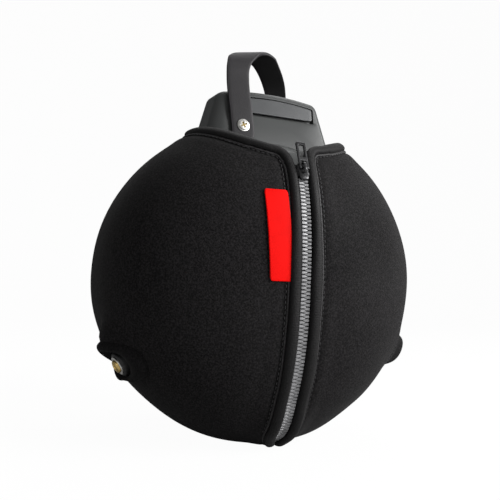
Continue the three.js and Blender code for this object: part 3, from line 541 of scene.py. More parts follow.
class Finish:
    """Material with a Principled shader whose colour, roughness and bump come from the shared groups."""

    def __init__(self, name, **values):
        self.material = bpy.data.materials.new(name)
        self.material.use_nodes = True
        self.tree = self.material.node_tree
        self.shader = self.tree.nodes["Principled BSDF"]
        self.coordinates = self.tree.nodes.new("ShaderNodeTexCoord")
        for label, value in values.items():
            self.shader.inputs[label].default_value = value

    def group(self, tree, surface=False, **values):
        """Places a shared group on Object coordinates, or on the piece's own surface map."""
        node = self.tree.nodes.new("ShaderNodeGroup")
        node.node_tree = tree
        source = self.coordinates.outputs["UV" if surface else "Object"]
        self.tree.links.new(source, node.inputs["Vector"])
        for label, value in values.items():
            node.inputs[label].default_value = value
        return node

    def colour(self, mask, dark, light):
        """Base colour that runs from dark to light with a mask."""
        mix = self.tree.nodes.new("ShaderNodeMix")
        mix.data_type = "RGBA"
        mix.inputs["A"].default_value = (*dark, 1)
        mix.inputs["B"].default_value = (*light, 1)
        self.tree.links.new(mask, mix.inputs["Factor"])
        self.tree.links.new(mix.outputs["Result"], self.shader.inputs["Base Color"])
        return mix

    def over(self, mix, mask, light):
        """Second colour laid over a first mix with its own mask."""
        last = self.tree.nodes.new("ShaderNodeMix")
        last.data_type = "RGBA"
        self.tree.links.new(mix.outputs["Result"], last.inputs["A"])
        last.inputs["B"].default_value = (*light, 1)
        self.tree.links.new(mask, last.inputs["Factor"])
        self.tree.links.new(last.outputs["Result"], self.shader.inputs["Base Color"])
        return last

    def rough(self, mask, low, high):
        """Roughness that runs from low to high with a mask."""
        spread = self.tree.nodes.new("ShaderNodeMapRange")
        spread.inputs["To Min"].default_value = low
        spread.inputs["To Max"].default_value = high
        self.tree.links.new(mask, spread.inputs["Value"])
        self.tree.links.new(spread.outputs["Result"], self.shader.inputs["Roughness"])

    def bump(self, height, strength, depth):
        """Bump of a height, added to any bump that is already there."""
        node = self.tree.nodes.new("ShaderNodeBump")
        node.inputs["Strength"].default_value = strength
        node.inputs["Distance"].default_value = depth
        self.tree.links.new(height, node.inputs["Height"])
        feeding = self.shader.inputs["Normal"].links
        if feeding:
            self.tree.links.new(feeding[0].from_socket, node.inputs["Normal"])
        self.tree.links.new(node.outputs["Normal"], self.shader.inputs["Normal"])


def scaled(colour, factor):
    """Colour made lighter or darker."""
    return tuple(min(1.0, c * factor) for c in colour)


def cloth_finish(name, colour, ribs=None, gloss=0.14, roughness=0.82):
    """Matte knitted face over foam: fine speckle, slow tone, pebbled bump and a soft sheen."""
    finish = Finish(name, **{"Sheen Weight": 0.02, "Sheen Roughness": 0.45, "Specular IOR Level": gloss})
    speckle = finish.group(speckle_group(), Scale=640.0, Low=0.4, High=0.66)
    tone = finish.group(tone_group(), Scale=11.0)
    mix = finish.colour(speckle.outputs["Mask"], scaled(colour, 0.3), scaled(colour, 2.5))
    finish.rough(tone.outputs["Mask"], roughness, roughness + 0.13)
    grain = finish.group(pebble_group(), Scale=820.0, Noise=0.5)
    finish.bump(grain.outputs["Height"], strength=0.35, depth=0.0004)
    if ribs:
        rib = finish.group(rib_group(), surface=True, Pitch=ribs)
        finish.over(mix, rib.outputs["Height"], scaled(colour, 1.15))
        finish.bump(rib.outputs["Height"], strength=0.2, depth=0.0003)
    return finish.material


def moulded_finish(name, colour, roughness, grain, depth, metal=0.0, tone_scale=18.0, spread=1.25, gloss=0.5):
    """Moulded or coated surface: slow tone in colour and gloss over a fine pebbled bump."""
    finish = Finish(name, Metallic=metal, **{"Specular IOR Level": gloss})
    tone = finish.group(tone_group(), Scale=tone_scale)
    finish.colour(tone.outputs["Mask"], scaled(colour, 1 / spread), scaled(colour, spread))
    finish.rough(tone.outputs["Mask"], roughness - 0.05, roughness + 0.06)
    bumps = finish.group(pebble_group(), Scale=grain, Noise=0.6)
    finish.bump(bumps.outputs["Height"], strength=0.25, depth=depth)
    return finish.material


def metal_finish(name, colour, roughness):
    """Bare metal: fine speckle in gloss, slow tarnish in colour and a slight bump."""
    finish = Finish(name, Metallic=1.0)
    tone = finish.group(tone_group(), Scale=220.0)
    speckle = finish.group(speckle_group(), Scale=1500.0)
    finish.colour(tone.outputs["Mask"], scaled(colour, 0.72), scaled(colour, 1.1))
    finish.rough(speckle.outputs["Mask"], roughness, roughness + 0.14)
    finish.bump(speckle.outputs["Mask"], strength=0.08, depth=0.0001)
    return finish.material


def strip_group():
    """Faces of a strip by the strip's own map round its profile: a mask of its inner face, from five to seven
    eighths of the way round, and one of its four long edges, by folding the way round on to one edge."""
    if "Strip faces" in bpy.data.node_groups:
        return bpy.data.node_groups["Strip faces"]
    tree, source, sink = new_group(
        "Strip faces", [("Vector", "NodeSocketVector", None)],
        [("Inner", "NodeSocketFloat"), ("Edges", "NodeSocketFloat")],
    )
    split = tree.nodes.new("ShaderNodeSeparateXYZ")
    tree.links.new(source.outputs["Vector"], split.inputs[0])

    def away(value, spot):
        """Distance of a value from a spot."""
        return math_node(tree, "ABSOLUTE", math_node(tree, "SUBTRACT", value, spot))

    def near(value, low, high, name):
        """Mask that falls from 1 to 0 between two distances."""
        spread = tree.nodes.new("ShaderNodeMapRange")
        spread.inputs["From Min"].default_value = low
        spread.inputs["From Max"].default_value = high
        spread.inputs["To Min"].default_value = 1
        spread.inputs["To Max"].default_value = 0
        tree.links.new(value, spread.inputs["Value"])
        tree.links.new(spread.outputs["Result"], sink.inputs[name])

    near(away(split.outputs["X"], 0.75), 0.12, 0.15, "Inner")
    near(away(away(away(split.outputs["X"], 0.5), 0.25), 0.14), 0.0, 0.03, "Edges")
    return tree


def leather_finish(name, colour):
    """Smooth leather: pebbled grain and slow tone, with rubbed edges by its own map and painted shade on its
    inner face, which the same map darkens."""
    finish = Finish(name, **{"Specular IOR Level": 0.2})
    tone = finish.group(tone_group(), Scale=32.0)
    mix = finish.colour(tone.outputs["Mask"], scaled(colour, 0.8), scaled(colour, 1.2))
    speckle = finish.group(speckle_group(), Scale=1100.0, Low=0.5, High=0.72)
    mix = finish.over(mix, speckle.outputs["Mask"], scaled(colour, 1.45))
    faces = finish.group(strip_group(), surface=True)
    mix = finish.over(mix, faces.outputs["Edges"], scaled(colour, 4))
    # Painted shade: the inner face is darkened to an eighth of the leather's colour
    finish.over(mix, faces.outputs["Inner"], scaled(colour, 0.12))
    finish.rough(faces.outputs["Inner"], 0.56, 1.0)
    grain = finish.group(pebble_group(), Scale=950.0, Noise=0.5)
    finish.bump(grain.outputs["Height"], strength=0.25, depth=0.0003)
    return finish.material


def thread_finish(name, colour):
    """Twisted thread: fine speckle and a rough face."""
    finish = Finish(name, **{"Sheen Weight": 0.1})
    speckle = finish.group(speckle_group(), Scale=2600.0)
    finish.colour(speckle.outputs["Mask"], scaled(colour, 0.7), scaled(colour, 1.5))
    finish.rough(speckle.outputs["Mask"], 0.6, 0.8)
    return finish.material


def port_place(side):
    """Middle of a side port on the lens and its directions: up the cloth, towards the zip and outwards."""
    below = math.radians(PORT_LEFT_BELOW_LEVEL if side < 0 else PORT_RIGHT_BELOW_LEVEL)
    r = float(lens_radius(PORT_Y))
    middle = np.array([side * r * math.cos(below), PORT_Y, -r * math.sin(below)])
    up = np.array([side * math.sin(below), 0, math.cos(below)])
    axis = lens_normal(middle)
    return middle, up, side * np.cross(axis, up), axis


def collar_sizes(side, up, ahead):
    """Hole, foot and lip of a port's collar in the directions with the given shares up and towards the zip.
    The lip runs from its height at the front or the back to its height above or below by a power of the share
    up, and the left one swells between the back and below."""
    rise, fall, fore = np.maximum(up, 0) ** 2, np.maximum(-up, 0) ** 2, np.maximum(ahead, 0) ** 3
    high = COLLAR_LEFT_LIP if side < 0 else COLLAR_RIGHT_LIP
    level, peak = np.where(ahead > 0, high[2], high[3]), np.where(up > 0, high[0], high[1])
    foot = COLLAR_FOOT + (COLLAR_FOOT_FRONT - COLLAR_FOOT) * fore
    if side > 0:
        hole = COLLAR_HOLE + (COLLAR_HOLE_UP - COLLAR_HOLE) * rise
        return hole, foot + (COLLAR_FOOT_DOWN - COLLAR_FOOT) * fall, level + (peak - level) * up**2
    hole = np.full(np.shape(up), COLLAR_LEFT_HOLE)
    foot = foot + COLLAR_LEFT_FOOT_UP * rise + COLLAR_LEFT_FOOT_DOWN * fall
    bend = np.where(up > 0, np.where(ahead > 0, 3.0, 1.0), np.where(ahead > 0, 2.0, 0.5))
    swell = 4 * np.maximum(-up, 0) * np.maximum(-ahead, 0)
    return hole, foot, level + (peak - level) * np.abs(up) ** bend + swell


def lens_drop(place, x, y):
    """How far the lens lies along a port's axis at a spot beside its middle, by Newton steps on the lens's
    formula."""
    middle, across, along, axis = place
    spot = middle + x[..., None] * across + y[..., None] * along
    drop, nudge = np.zeros(np.shape(x)), 0.01

    def level(p):
        """Formula of the lens less one: nought on it and more outside."""
        radial = (np.hypot(p[..., 0], p[..., 2]) / RADIUS) ** RADIUS_POWER
        return radial + (np.abs(p[..., 1]) / HALF_DEPTH) ** DEPTH_POWER - 1

    for _ in range(12):
        here = level(spot + drop[..., None] * axis)
        slope = (level(spot + (drop + nudge)[..., None] * axis) - here) / nudge
        drop = drop - here / slope
    return drop


def lens_section(count):
    """Radius and depth of the lens, from its front to its back: sine and cosine raised to powers."""
    t = np.linspace(0, np.pi, count)
    r = RADIUS * np.sin(t).clip(0) ** (2 / RADIUS_POWER)
    return np.stack([r, -HALF_DEPTH * power(np.cos(t), 2 / DEPTH_POWER)], axis=1)


def inside_mouth(p):
    """Whether points on the lens lie inside the mouth. The angle of the oval's own formula is found by steps,
    until it looks the same way from the mouth's middle as the point does."""
    away = p[:, :2] - (0, MOUTH_Y)
    look = np.arctan2(away[:, 1], away[:, 0])
    angle = look
    for _ in range(6):
        edge = np.stack(mouth(angle), axis=1) - (0, MOUTH_Y)
        angle = angle + look - np.arctan2(edge[:, 1], edge[:, 0])
    edge = np.stack(mouth(angle), axis=1) - (0, MOUTH_Y)
    return (p[:, 2] > 0) & (np.linalg.norm(away, axis=1) < np.linalg.norm(edge, axis=1))


def cover_half(side):
    """Half of the cover: the lens by angle round its axis and by running length of its section, lifted by
    sums of soft bumps. The lift dips along the rolled edge and the back seam, stands up along the zip's foot
    and round the port, and waves slowly between them. A soft step keeps it off the ground. Faces inside the
    mouth, the zip and the port are left out."""
    steps, rounds = 150, 156
    r, y = resample(lens_section(3000), steps).T
    turn = np.linspace(0, np.pi, rounds)
    x, z = np.outer(r, np.sin(turn)), np.outer(r, np.cos(turn))
    p = np.stack([side * x, np.repeat(y[:, None], rounds, 1), z], axis=-1)

    flat = p.reshape(-1, 3)
    line = edge_line(side, 260)
    batches = np.array_split(flat, 40)
    near = np.concatenate([np.linalg.norm(spots[:, None] - line, axis=2).min(axis=1) for spots in batches])
    near = near.reshape(x.shape)
    middle, upward, forward, _ = port_place(side)
    up, ahead = (p - middle) @ upward, (p - middle) @ forward
    around = np.maximum(np.hypot(up, ahead), 1e-6)
    rise = np.maximum(up / around, 0) ** 2
    beyond = around - collar_sizes(side, up / around, ahead / around)[1]
    # Keeps the port's swell away from the middle of the bag
    middle_half = 60
    beyond = beyond + middle_half * (x < middle_half)

    behind = p[..., 1]
    lift = hump(near, *ROLL_GROOVE) + hump(near, *ROLL_SHOULDER) + ridge(p) * hump(near, *ROLL_RIDGE)
    port_swell = 1.4 if side > 0 else 10.5 * rise - 0.6
    lift = lift + hump(np.maximum(beyond, 0), port_swell, 0, 8 + 4 * rise)
    lift = lift + hump(x, *SEAM_GROOVE) * (behind > -60) + hump(x, *SEAM_SHOULDER) * (behind > -40)
    waves = np.sin(x / 17 + z / 31 + side) * np.sin(z / 23 - behind / 29 + 2 * side)
    lift = lift + WAVE_HEIGHT * waves * smooth(8, 40, near)
    p = p + lift[..., None] * lens_normal(p)
    p[..., 2] -= smooth(118, 150, -z) * hump(p[..., 1], *FRONT_SAG)
    ground = -CENTRE_Z + GROUND_GAP
    p[..., 2] = ground + GROUND_SOFTNESS * np.logaddexp(0, (p[..., 2] - ground) / GROUND_SOFTNESS)
    p[..., 0] = side * np.maximum(side * p[..., 0], SEAM_HALF_GAP)

    points, faces, uv = grid(p)
    spot = flat[faces].mean(axis=1)
    in_zip = (spot[:, 1] < 0) & (spot[:, 2] > ZIP_END_Z) & (np.abs(spot[:, 0]) < zip_edge(spot[:, 2]))
    in_port = beyond.reshape(-1)[faces].mean(axis=1) < -4
    return points, faces[~(inside_mouth(spot) | in_zip | in_port)], uv


def edge_frame(side):
    """Line of a rolled edge with its directions: across, away from the zip, and outwards."""
    line = edge_line(side, 520)
    outward = lens_normal(line)
    return line, np.cross(outward, heading(line)) * -side, outward


def roll_parts(side, width, height):
    """Rolled edge and the thin bead of the seam beside it: a flattened circle and a small one carried along
    the edge line. The roll is narrower towards the slider and where both sides close up at the zip's foot,
    stands up in a ridge there, and is rounded off at that end. A slow sine makes it uneven."""
    line, across, outward = edge_frame(side)
    run = running(line)
    off_middle = np.abs(line[:, 0])
    rounded_end = np.sqrt(np.clip((run + 0.4) / 5, 0.15, 1))
    near_slider = smooth(0, 90, line[:, 2])
    uneven = 0.03
    room = np.clip((off_middle - 0.2) / 9.6, 0, 1)
    half = np.where(line[:, 1] > -60, width / 2, np.minimum(width / 2, width * room))
    half = half * (1 + uneven * np.sin(run / 13 + side)) * rounded_end
    half = half * (1 - 0.16 * near_slider * (line[:, 1] < -90))
    tall = height / 2 * (1 + uneven * np.sin(run / 17 + 1)) * rounded_end
    on_zip = off_middle < ZIP_EDGE_X + 0.3
    inset = -0.7 * smooth(0, 30, run) * (1 - smooth(250, 290, run)) - 0.6 * near_slider * on_zip
    angle = ring(28)
    u = inset[:, None] + half[:, None] * power(np.cos(angle), 0.85)
    w = (0.9 + ridge(line))[:, None] + tall[:, None] * power(np.sin(angle), 0.9)
    roll = sweep(line, across, outward, u, w)
    bead_rise = 0.35 + 0.75 * ridge(line)
    bead_line = line + across * (half + inset + 1.0)[:, None] + outward * bead_rise[:, None]
    bead = sweep(bead_line, across, outward, 1.15 * np.cos(ring(10)), 0.95 * np.sin(ring(10)))
    return roll, bead


def stitch_parts(line, across, outward, length, gap, thick):
    """Stitches along a line: a short capsule on each length and gap, its ends drawn in like an ellipse."""
    run = running(line)
    starts = np.arange(gap, run[-1] - length, length + gap)
    share = np.linspace(0, 1, 6)
    spots = starts[:, None] + length * share[None]
    bulge = thick * np.sqrt(np.clip(1 - (2 * share - 1) ** 2, 0, 1))
    middle, wide, out = (sampled(spots, run, data)[:, :, None] for data in (line, across, outward))
    turn = ring(6)[:, None]
    return many_rings(middle + bulge[:, None, None] * (np.cos(turn) * wide + np.sin(turn) * out))


def edge_stitches(side, width, length):
    """Stitch line just outside the bead of the rolled edge, from a little above the zip's foot."""
    line, across, outward = (rows[24:] for rows in edge_frame(side))
    rise = 0.5 + 0.6 * ridge(line)
    spot = line + across * (width / 2 + 2.4) + outward * rise[:, None]
    return stitch_parts(spot, across, outward, length, gap=1.1, thick=0.42)


def seam_stitches(side, length):
    """Stitch line beside the back seam: from behind the mouth down the back and under the bag."""
    section = lens_section(2400)
    back = section[section[:, 1] > MOUTH_BACK + MOUTH_Y + 7]
    under = section[section[:, 1] > -50][::-1] * (-1, 1)
    z, y = np.concatenate([back, under]).T
    line = np.stack([np.full(len(y), SEAM_STITCH_X * side), y, np.maximum(z, -CENTRE_Z + 0.5)], axis=1)
    line = resample(line, 400)
    outward = lens_normal(line)
    across = np.cross(outward, heading(line))
    return stitch_parts(line + outward * 0.15, across, outward, length, gap=1.2, thick=0.4)


def chain_line(low, high, count):
    """Middle line of the zip on the lens, raised with the ridge at its foot, with its directions up and
    outwards."""
    line = resample(front(0, np.linspace(low, high, 900)), count)
    line = line + (0.8 * ridge(line))[:, None] * lens_normal(line)
    return line, heading(line), lens_normal(line)


def tape_part(side):
    """Woven tape of one side of the zip: a thin flat profile carried along the zip's middle line."""
    line, _, outward = chain_line(CHAIN_LOW_Z - 3, CHAIN_HIGH_Z + 7, 220)
    half_width = np.clip(zip_edge(line[:, 2]) - 1.5, 1.2, 8.2)
    share = np.array([0.1, 0.1, 0.5, 1, 1, 0.5, 0.1])
    height = np.array([-1.7, -0.75, -0.6, -0.65, -1.6, -1.7, -1.7])
    across = np.tile(side * X_AXIS, (len(line), 1))
    return sweep(line, across, outward, share * half_width[:, None], height)


def teeth_part(side, pitch):
    """Moulded teeth of one side: a broad root that tapers to a narrow head past the middle, as rings of eight
    points that are carried from the root to the head, once for each pitch along the zip."""
    line, up, outward = chain_line(CHAIN_LOW_Z, CHAIN_HIGH_Z, 1400)
    run = running(line)
    spots = np.arange(pitch * (0.5 if side < 0 else 1.0), run[-1], pitch)
    place, rise, out = (sampled(spots, run, data)[:, None, None] for data in (line, up, outward))
    reach = np.array([4.55, 4.55, 4.3, 1.6, 0.4, -0.8, -1.2, -1.2])
    wide = np.array([0.0, 1.05, 1.26, 1.2, 0.8, 0.5, 0.35, 0.0])
    low = np.array([0.0, -1.5, -1.8, -1.8, -1.6, -1.6, -1.4, 0.0])
    high = np.array([0.0, 1.25, 1.55, 1.5, 1.3, 1.1, 0.8, 0.0])
    cut = 0.72
    corner = np.array([(1, cut), (cut, 1), (-cut, 1), (-1, cut), (-1, -cut), (-cut, -1), (cut, -1), (1, -cut),
                       (1, cut)])
    s = wide[:, None] * corner[:, 0]
    h = (high + low)[:, None] / 2 + (high - low)[:, None] / 2 * corner[:, 1]
    inward = (side * reach)[:, None, None] * X_AXIS
    return many_rings(place + s[..., None] * rise + h[..., None] * out + inward)


def slider_place():
    """Slider's frame on the zip: across, up the zip and outwards."""
    foot = front(0, SLIDER_Z)
    outward = lens_normal(foot)
    return foot, X_AXIS, np.cross(outward, X_AXIS), outward


def slider_parts():
    """Slider: a rounded shield that widens upwards, cheeks at its sides, and a bridge, which is a rounded
    profile carried over an arch."""
    half = 5.4
    shield = rounded_block((-half, -9.6, 1.75), (half, 7.2, 4.5), square=0.42, columns=40, rows=20)
    points = shield[0]
    points[:, 0] *= 0.86 + 0.14 * smooth(-6, 5, points[:, 1])
    points[:, 2] += 0.5 * (1 - (points[:, 0] / half) ** 2) * smooth(3, 4.4, points[:, 2])
    cheeks = [
        rounded_block((x - 0.8, -5.6, -1.6), (x + 0.8, 6.2, 3.4), square=0.5, columns=24, rows=16)
        for x in (-5.0, 5.0)
    ]
    arch = [(-3.3, 3.6), (-3.25, 6.6), (-1.9, 8.35), (1.2, 8.6), (4.3, 8.35), (5.65, 6.6), (5.7, 3.6)]
    line = spline([(0, y, z) for y, z in arch], 40)
    side = np.tile(X_AXIS, (len(line), 1))
    angle = ring(16)
    wide, thick = 1.5 * power(np.cos(angle), 0.6), 0.72 * power(np.sin(angle), 0.7)
    bridge = sweep(line, side, np.cross(side, heading(line)), wide, thick)
    return [set_in(part, slider_place()) for part in (shield, *cheeks, bridge)]


def loop_by_angle(outline, middle, angles):
    """Closed outline seen from a middle point: its distance at each angle, so that outlines can be joined."""
    off = outline - middle
    turn = np.arctan2(off[:, 1], off[:, 0])
    order = np.argsort(turn)
    far = np.interp(angles, turn[order], np.hypot(off[:, 0], off[:, 1])[order], period=2 * np.pi)
    return middle + far[:, None] * np.stack([np.cos(angles), np.sin(angles)], axis=1)


def inset_loop(outline, amount):
    """Closed outline drawn in by an amount along its own normals."""
    run = np.roll(outline, -1, 0) - np.roll(outline, 1, 0)
    normal = np.stack([-run[:, 1], run[:, 0]], axis=1)
    return outline + amount * normal / np.maximum(np.linalg.norm(normal, axis=1, keepdims=True), 1e-9)


def rounded_rectangle(low, high, radius, count=24):
    """Closed outline of a rectangle with round corners, anticlockwise, with points along its sides too."""
    turn = np.linspace(0, np.pi / 2, count // 3)
    corners = [(high[0] - radius, low[1] + radius), (high[0] - radius, high[1] - radius),
               (low[0] + radius, high[1] - radius), (low[0] + radius, low[1] + radius)]
    bends = [
        corner + radius * np.stack([np.cos(turn + start), np.sin(turn + start)], axis=1)
        for corner, start in zip(corners, np.pi / 2 * np.arange(-1, 3))
    ]
    loop = np.concatenate(bends + [bends[0][:1]])
    return resample(loop, 12 * count)[:-1]


def slab(outline, middle, angles, low, high, rounding, inner=(0.0, 0.35, 0.7, 0.93)):
    """Slab of a closed outline with rounded rims: rings from the middle of its back, round its edge, to the
    middle of its front. Gives the rings' two plan coordinates and their height."""
    bend = np.linspace(0, np.pi / 2, 5)
    steps = [(rounding * (1 - math.sin(a)), low + rounding * (1 - math.cos(a))) for a in bend]
    steps += [(rounding * (1 - math.cos(a)), high - rounding * (1 - math.sin(a))) for a in bend]
    rims = [loop_by_angle(inset_loop(outline, inset), middle, angles) for inset, _ in steps]
    first = [middle + (rims[0] - middle) * k for k in inner]
    last = [middle + (rims[-1] - middle) * k for k in inner[::-1]]
    plan = np.stack(first + rims + last)
    height = np.array([low] * len(inner) + [h for _, h in steps] + [high] * len(inner))
    return plan, np.repeat(height[:, None], len(angles), 1)


def pull_parts():
    """Pull tab: a frame round a long window, two arms at its foot and the pin through the bridge. The frame
    is a ring whose rim is rounded between the outline and the window."""
    middle, across, along, axis = slider_place()
    place = middle + PIN_ALONG * along + PIN_HEIGHT * axis, across, along, axis
    angles = ring(120)
    centre = np.array([0.0, 15.8])
    outline = rounded_rectangle((-4.7, 6.4), (4.7, 25.8), 1.5)
    window = rounded_rectangle((-2.5, 9.6), (2.5, 22.8), 0.8)
    bend = np.linspace(0, np.pi / 2, 4)
    half_thick, rounding, pin_half, pin_radius = 1, 0.45, 3.6, 1
    rows = []
    for loop, sign in ((outline, 1), (window, -1)):
        up = [(sign * rounding * (1 - math.cos(a)), half_thick - rounding * (1 - math.sin(a))) for a in bend]
        steps = [(inset, -h) for inset, h in up[::-1]] + up
        rings = [(loop_by_angle(inset_loop(loop, inset), centre, angles), h) for inset, h in steps]
        rows += rings[::sign]
    rows.append(rows[0])
    points = np.stack([np.column_stack([plan, np.full(len(plan), h)]) for plan, h in rows])
    arms = [
        rounded_block((x - 1.2, -1.3, -half_thick), (x + 1.2, 8.4, half_thick), square=0.35, columns=24)
        for x in (-3.5, 3.5)
    ]
    turn = ring(20)
    circle = np.stack([0 * turn, pin_radius * np.cos(turn), pin_radius * np.sin(turn)], axis=-1)
    pin = np.stack([circle - pin_half * X_AXIS, circle + pin_half * X_AXIS])
    return [set_in(part, place) for part in (grid(points), *arms, grid(ends_closed(pin)))]


def label_part():
    """Label: a slab with rounded rims, leaned to the left and bent on to the front of the lens."""
    lean, lean_from = 0.0506, 40
    outline = rounded_rectangle((-35.3, 1.0), (-14.2, 79.5), 2.2)
    inner = (0.0, 0.2, 0.4, 0.6, 0.8, 0.95)
    middle = np.array([-24.7, 40.2])
    plan, height = slab(outline, middle, ring(180), low=0.35, high=1.9, rounding=0.6, inner=inner)
    return grid(front(plan[..., 0] - lean * (plan[..., 1] - lean_from), plan[..., 1], height))


def leaned(points):
    """Neck points leaned back and narrowed: fully at the neck's front, and not at all at its back."""
    share = (NECK_FRONT + NECK_DEPTH - points[..., 1]) / NECK_DEPTH
    x = points[..., 0] * (1 - NECK_NARROWING * share)
    y = points[..., 1] + share * NECK_LEAN * (points[..., 2] - NECK_LOW)
    return np.stack([x, y, points[..., 2]], axis=-1)


def neck_outline():
    """Outline of the neck from the front, anticlockwise: straight sides, rounded shoulders and an arched
    top."""
    flip = np.array([-1, 1])
    foot, side, shoulder, top_end = (np.array(spot) for spot in (
        (74, NECK_LOW), (57.5, 175.5), (56, 182.2), (50.5, 183.7)))
    loop = np.concatenate([
        np.linspace(foot * flip, foot, 40)[:-1],
        np.linspace(foot, side, 40)[:-1],
        bezier(side, shoulder, top_end, 16)[:-1],
        bezier(top_end, (0, 191.9), top_end * flip, 60)[:-1],
        bezier(top_end * flip, shoulder * flip, side * flip, 16)[:-1],
        np.linspace(side * flip, foot * flip, 40),
    ])
    return resample(loop, 500)[:-1]


def plate_outline(grow, under=0.0):
    """Outline of the plate from the front, anticlockwise: a long rounded rectangle with an arched top, whose
    left end is shorter under the strap."""
    half, low, high, bend = 48 + grow, 164.8 - grow - under, 177.2 + grow, 2.5
    end, side = half - 5.5, half - bend
    loop = np.concatenate([
        np.linspace((bend - end, low), (side, low), 40)[:-1],
        bezier((side, low), (half, low), (half, low + bend), 8)[:-1],
        np.linspace((half, low + bend), (half, high - bend), 14)[:-1],
        bezier((half, high - bend), (half, high), (side, high), 8)[:-1],
        bezier((side, high), (2.7, 184.4 + grow), (bend - end, high), 60)[:-1],
        bezier((bend - end, high), (-end, high), (-end, high - bend), 8)[:-1],
        np.linspace((-end, high - bend), (-end, low + bend), 14)[:-1],
        bezier((-end, low + bend), (-end, low), (bend - end, low), 8),
    ])
    return resample(loop, 400)[:-1]


def neck_part():
    """Neck: rings from the floor of the plate's recess, over the front face, round the rounded edge, along
    the sides and over the back. Each ring is the outline drawn in by an amount at one depth, then leaned.
    At the front its sides are drawn in further, most of all low down on the left."""
    centre, recess_floor = np.array([0.0, PLATE_MIDDLE_Z]), -42.5
    recess, outer = plate_outline(1.7, 1.3), neck_outline()
    turns = [np.arctan2(*(loop - centre).T[::-1]) for loop in (recess, outer)]
    angles = np.sort(np.concatenate(turns))
    angles = np.r_[angles, angles[0] + 2 * np.pi]
    floor = loop_by_angle(recess, centre, angles)
    rounding, deep, back, half_width = 6.0, 13.0, NECK_FRONT + NECK_DEPTH, 62
    bend = np.linspace(0, np.pi / 2, 14)
    middle = np.repeat(centre[None], len(angles), 0)
    rim = loop_by_angle(plate_outline(1.95, 1.3), centre, angles)
    rows = [(middle, recess_floor), (floor, recess_floor), (floor, NECK_FRONT + 0.25), (rim, NECK_FRONT)]
    for a in bend:
        behind = deep * (1 - math.cos(a))
        inset = rounding - math.sqrt(rounding**2 - max(rounding - behind, 0) ** 2)
        loop = loop_by_angle(inset_loop(outer, inset), centre, angles)
        wide = np.where(loop[:, 0] < 0, 10 + 12 * smooth(-176, -128, -loop[:, 1]), rounding + 1)
        loop[:, 0] *= 1 - np.maximum((1 - math.sin(a)) * wide - inset, 0) / half_width
        rows.append((loop, NECK_FRONT + behind))
    steps = [(0, y) for y in np.linspace(NECK_FRONT + deep + 1, back - rounding - 1, 8)]
    steps += [(rounding * (1 - math.cos(a)), back - rounding * (1 - math.sin(a))) for a in bend[::2]]
    steps += [(rounding, back), (rounding + 1.2, back)]
    rows += [(loop_by_angle(inset_loop(outer, inset), centre, angles), y) for inset, y in steps]
    rows.append((middle, back))
    points = np.stack([np.column_stack([plan[:, 0], np.full(len(plan), y), plan[:, 1]]) for plan, y in rows])
    return grid(leaned(points))


def deck_part():
    """Deck round the neck's foot: rings of the mouth's oval from its middle to the wall, up the wall, out on
    the lip under the cover and back below. Each ring lies on the lens grown by a negative amount."""
    angle = ring(160)
    deck, deck_under, lip, lip_under = -19.3, -21.5, -3.5, -5.6

    def rings(oval, depth, shares):
        """Ovals drawn in to shares of their size, at one depth."""
        x, y = mouth(angle, oval)
        return [top(x * share, MOUTH_Y + (y - MOUTH_Y) * share, depth) for share in shares]

    oval = mouth(angle, -6.0)
    low, high = top(*oval, deck), top(*oval, lip - 0.1)
    rows = rings(-6.3, deck, np.linspace(0.02, 1, 14))
    rows += [low + (high - low) * share for share in (0.04, 0.3, 0.6, 0.9, 0.98)]
    rows += [top(*mouth(angle, grow), lip) for grow in (-5.6, -2, 4, 8.6)]
    rows += [top(*mouth(angle, grow), lip_under) for grow in (8.6, 0, -3.5)]
    rows += rings(-3.5, deck_under, np.linspace(1, 0.02, 10))
    return grid(ends_closed(np.stack(rows)))


def plate_part():
    """Plate: a slab with rounded rims on the neck's leaning front."""
    middle, thick, sunk = np.array([0.0, PLATE_MIDDLE_Z]), PLATE_PROUD + 2.2, 2.6
    plan, height = slab(plate_outline(0), middle, ring(260), low=0.0, high=thick, rounding=0.45)
    depth = NECK_FRONT + sunk - height
    return grid(leaned(np.stack([plan[..., 0], depth, plan[..., 1]], axis=-1)))


def neck_face(z):
    """Depth of the neck's leaning front at height z."""
    return NECK_FRONT + NECK_LEAN * (z - NECK_LOW)


def strap_rows(thick):
    """Points of the strap's middle line, up the neck's front, over in an arch to the other corner and down
    its back, with the turn of its width about the upright and the tilt of its right edge, in degrees."""
    stand = STRAP_STAND + thick / 2
    behind = NECK_FRONT + NECK_DEPTH + stand
    # Columns: x, z, distance proud of the neck, tilt
    front_rows = (
        (STRAP_FRONT_X, 136.5, 0, 0), (STRAP_FRONT_X, 146, 0, 0), (-31.9, 155, 0, 0),
        (-32.6, 162, PLATE_PROUD, 0), (-34.2, 181, PLATE_PROUD, 0), (-34.7, 196, PLATE_PROUD, 2),
    )
    # Columns: x, y, z, turn, tilt
    arch_rows = [
        (-33.9, -32.3, 209, 0, 1), (-31.2, -30, 216.3, 0, 4), (-25, -25.5, 223.8, 2, 6),
        (-13.5, -19.5, 229, 8, 10), (-0.2, -12.5, 226.6, 14, 11), (12, -4.8, 217.2, 12, 5),
    ]
    # Columns: x, z, distance off the neck, turn, tilt
    back_rows = (
        (20.6, 204, 0.3, 8, 3), (22.6, 192, 0.5, 0, 0), (STRAP_BACK_X, 180, 0.3, 0, 0),
        (STRAP_BACK_X, 164, 0, 0, 0), (STRAP_BACK_X, 154, 0, 0, 0), (STRAP_BACK_X, 142, 0, 0, 0),
    )
    up = [(x, neck_face(z) - proud - stand, z, 0, tilt) for x, z, proud, tilt in front_rows]
    down = [(x, behind + off, z, turn, tilt) for x, z, off, turn, tilt in back_rows]
    return np.array(up + arch_rows + down)


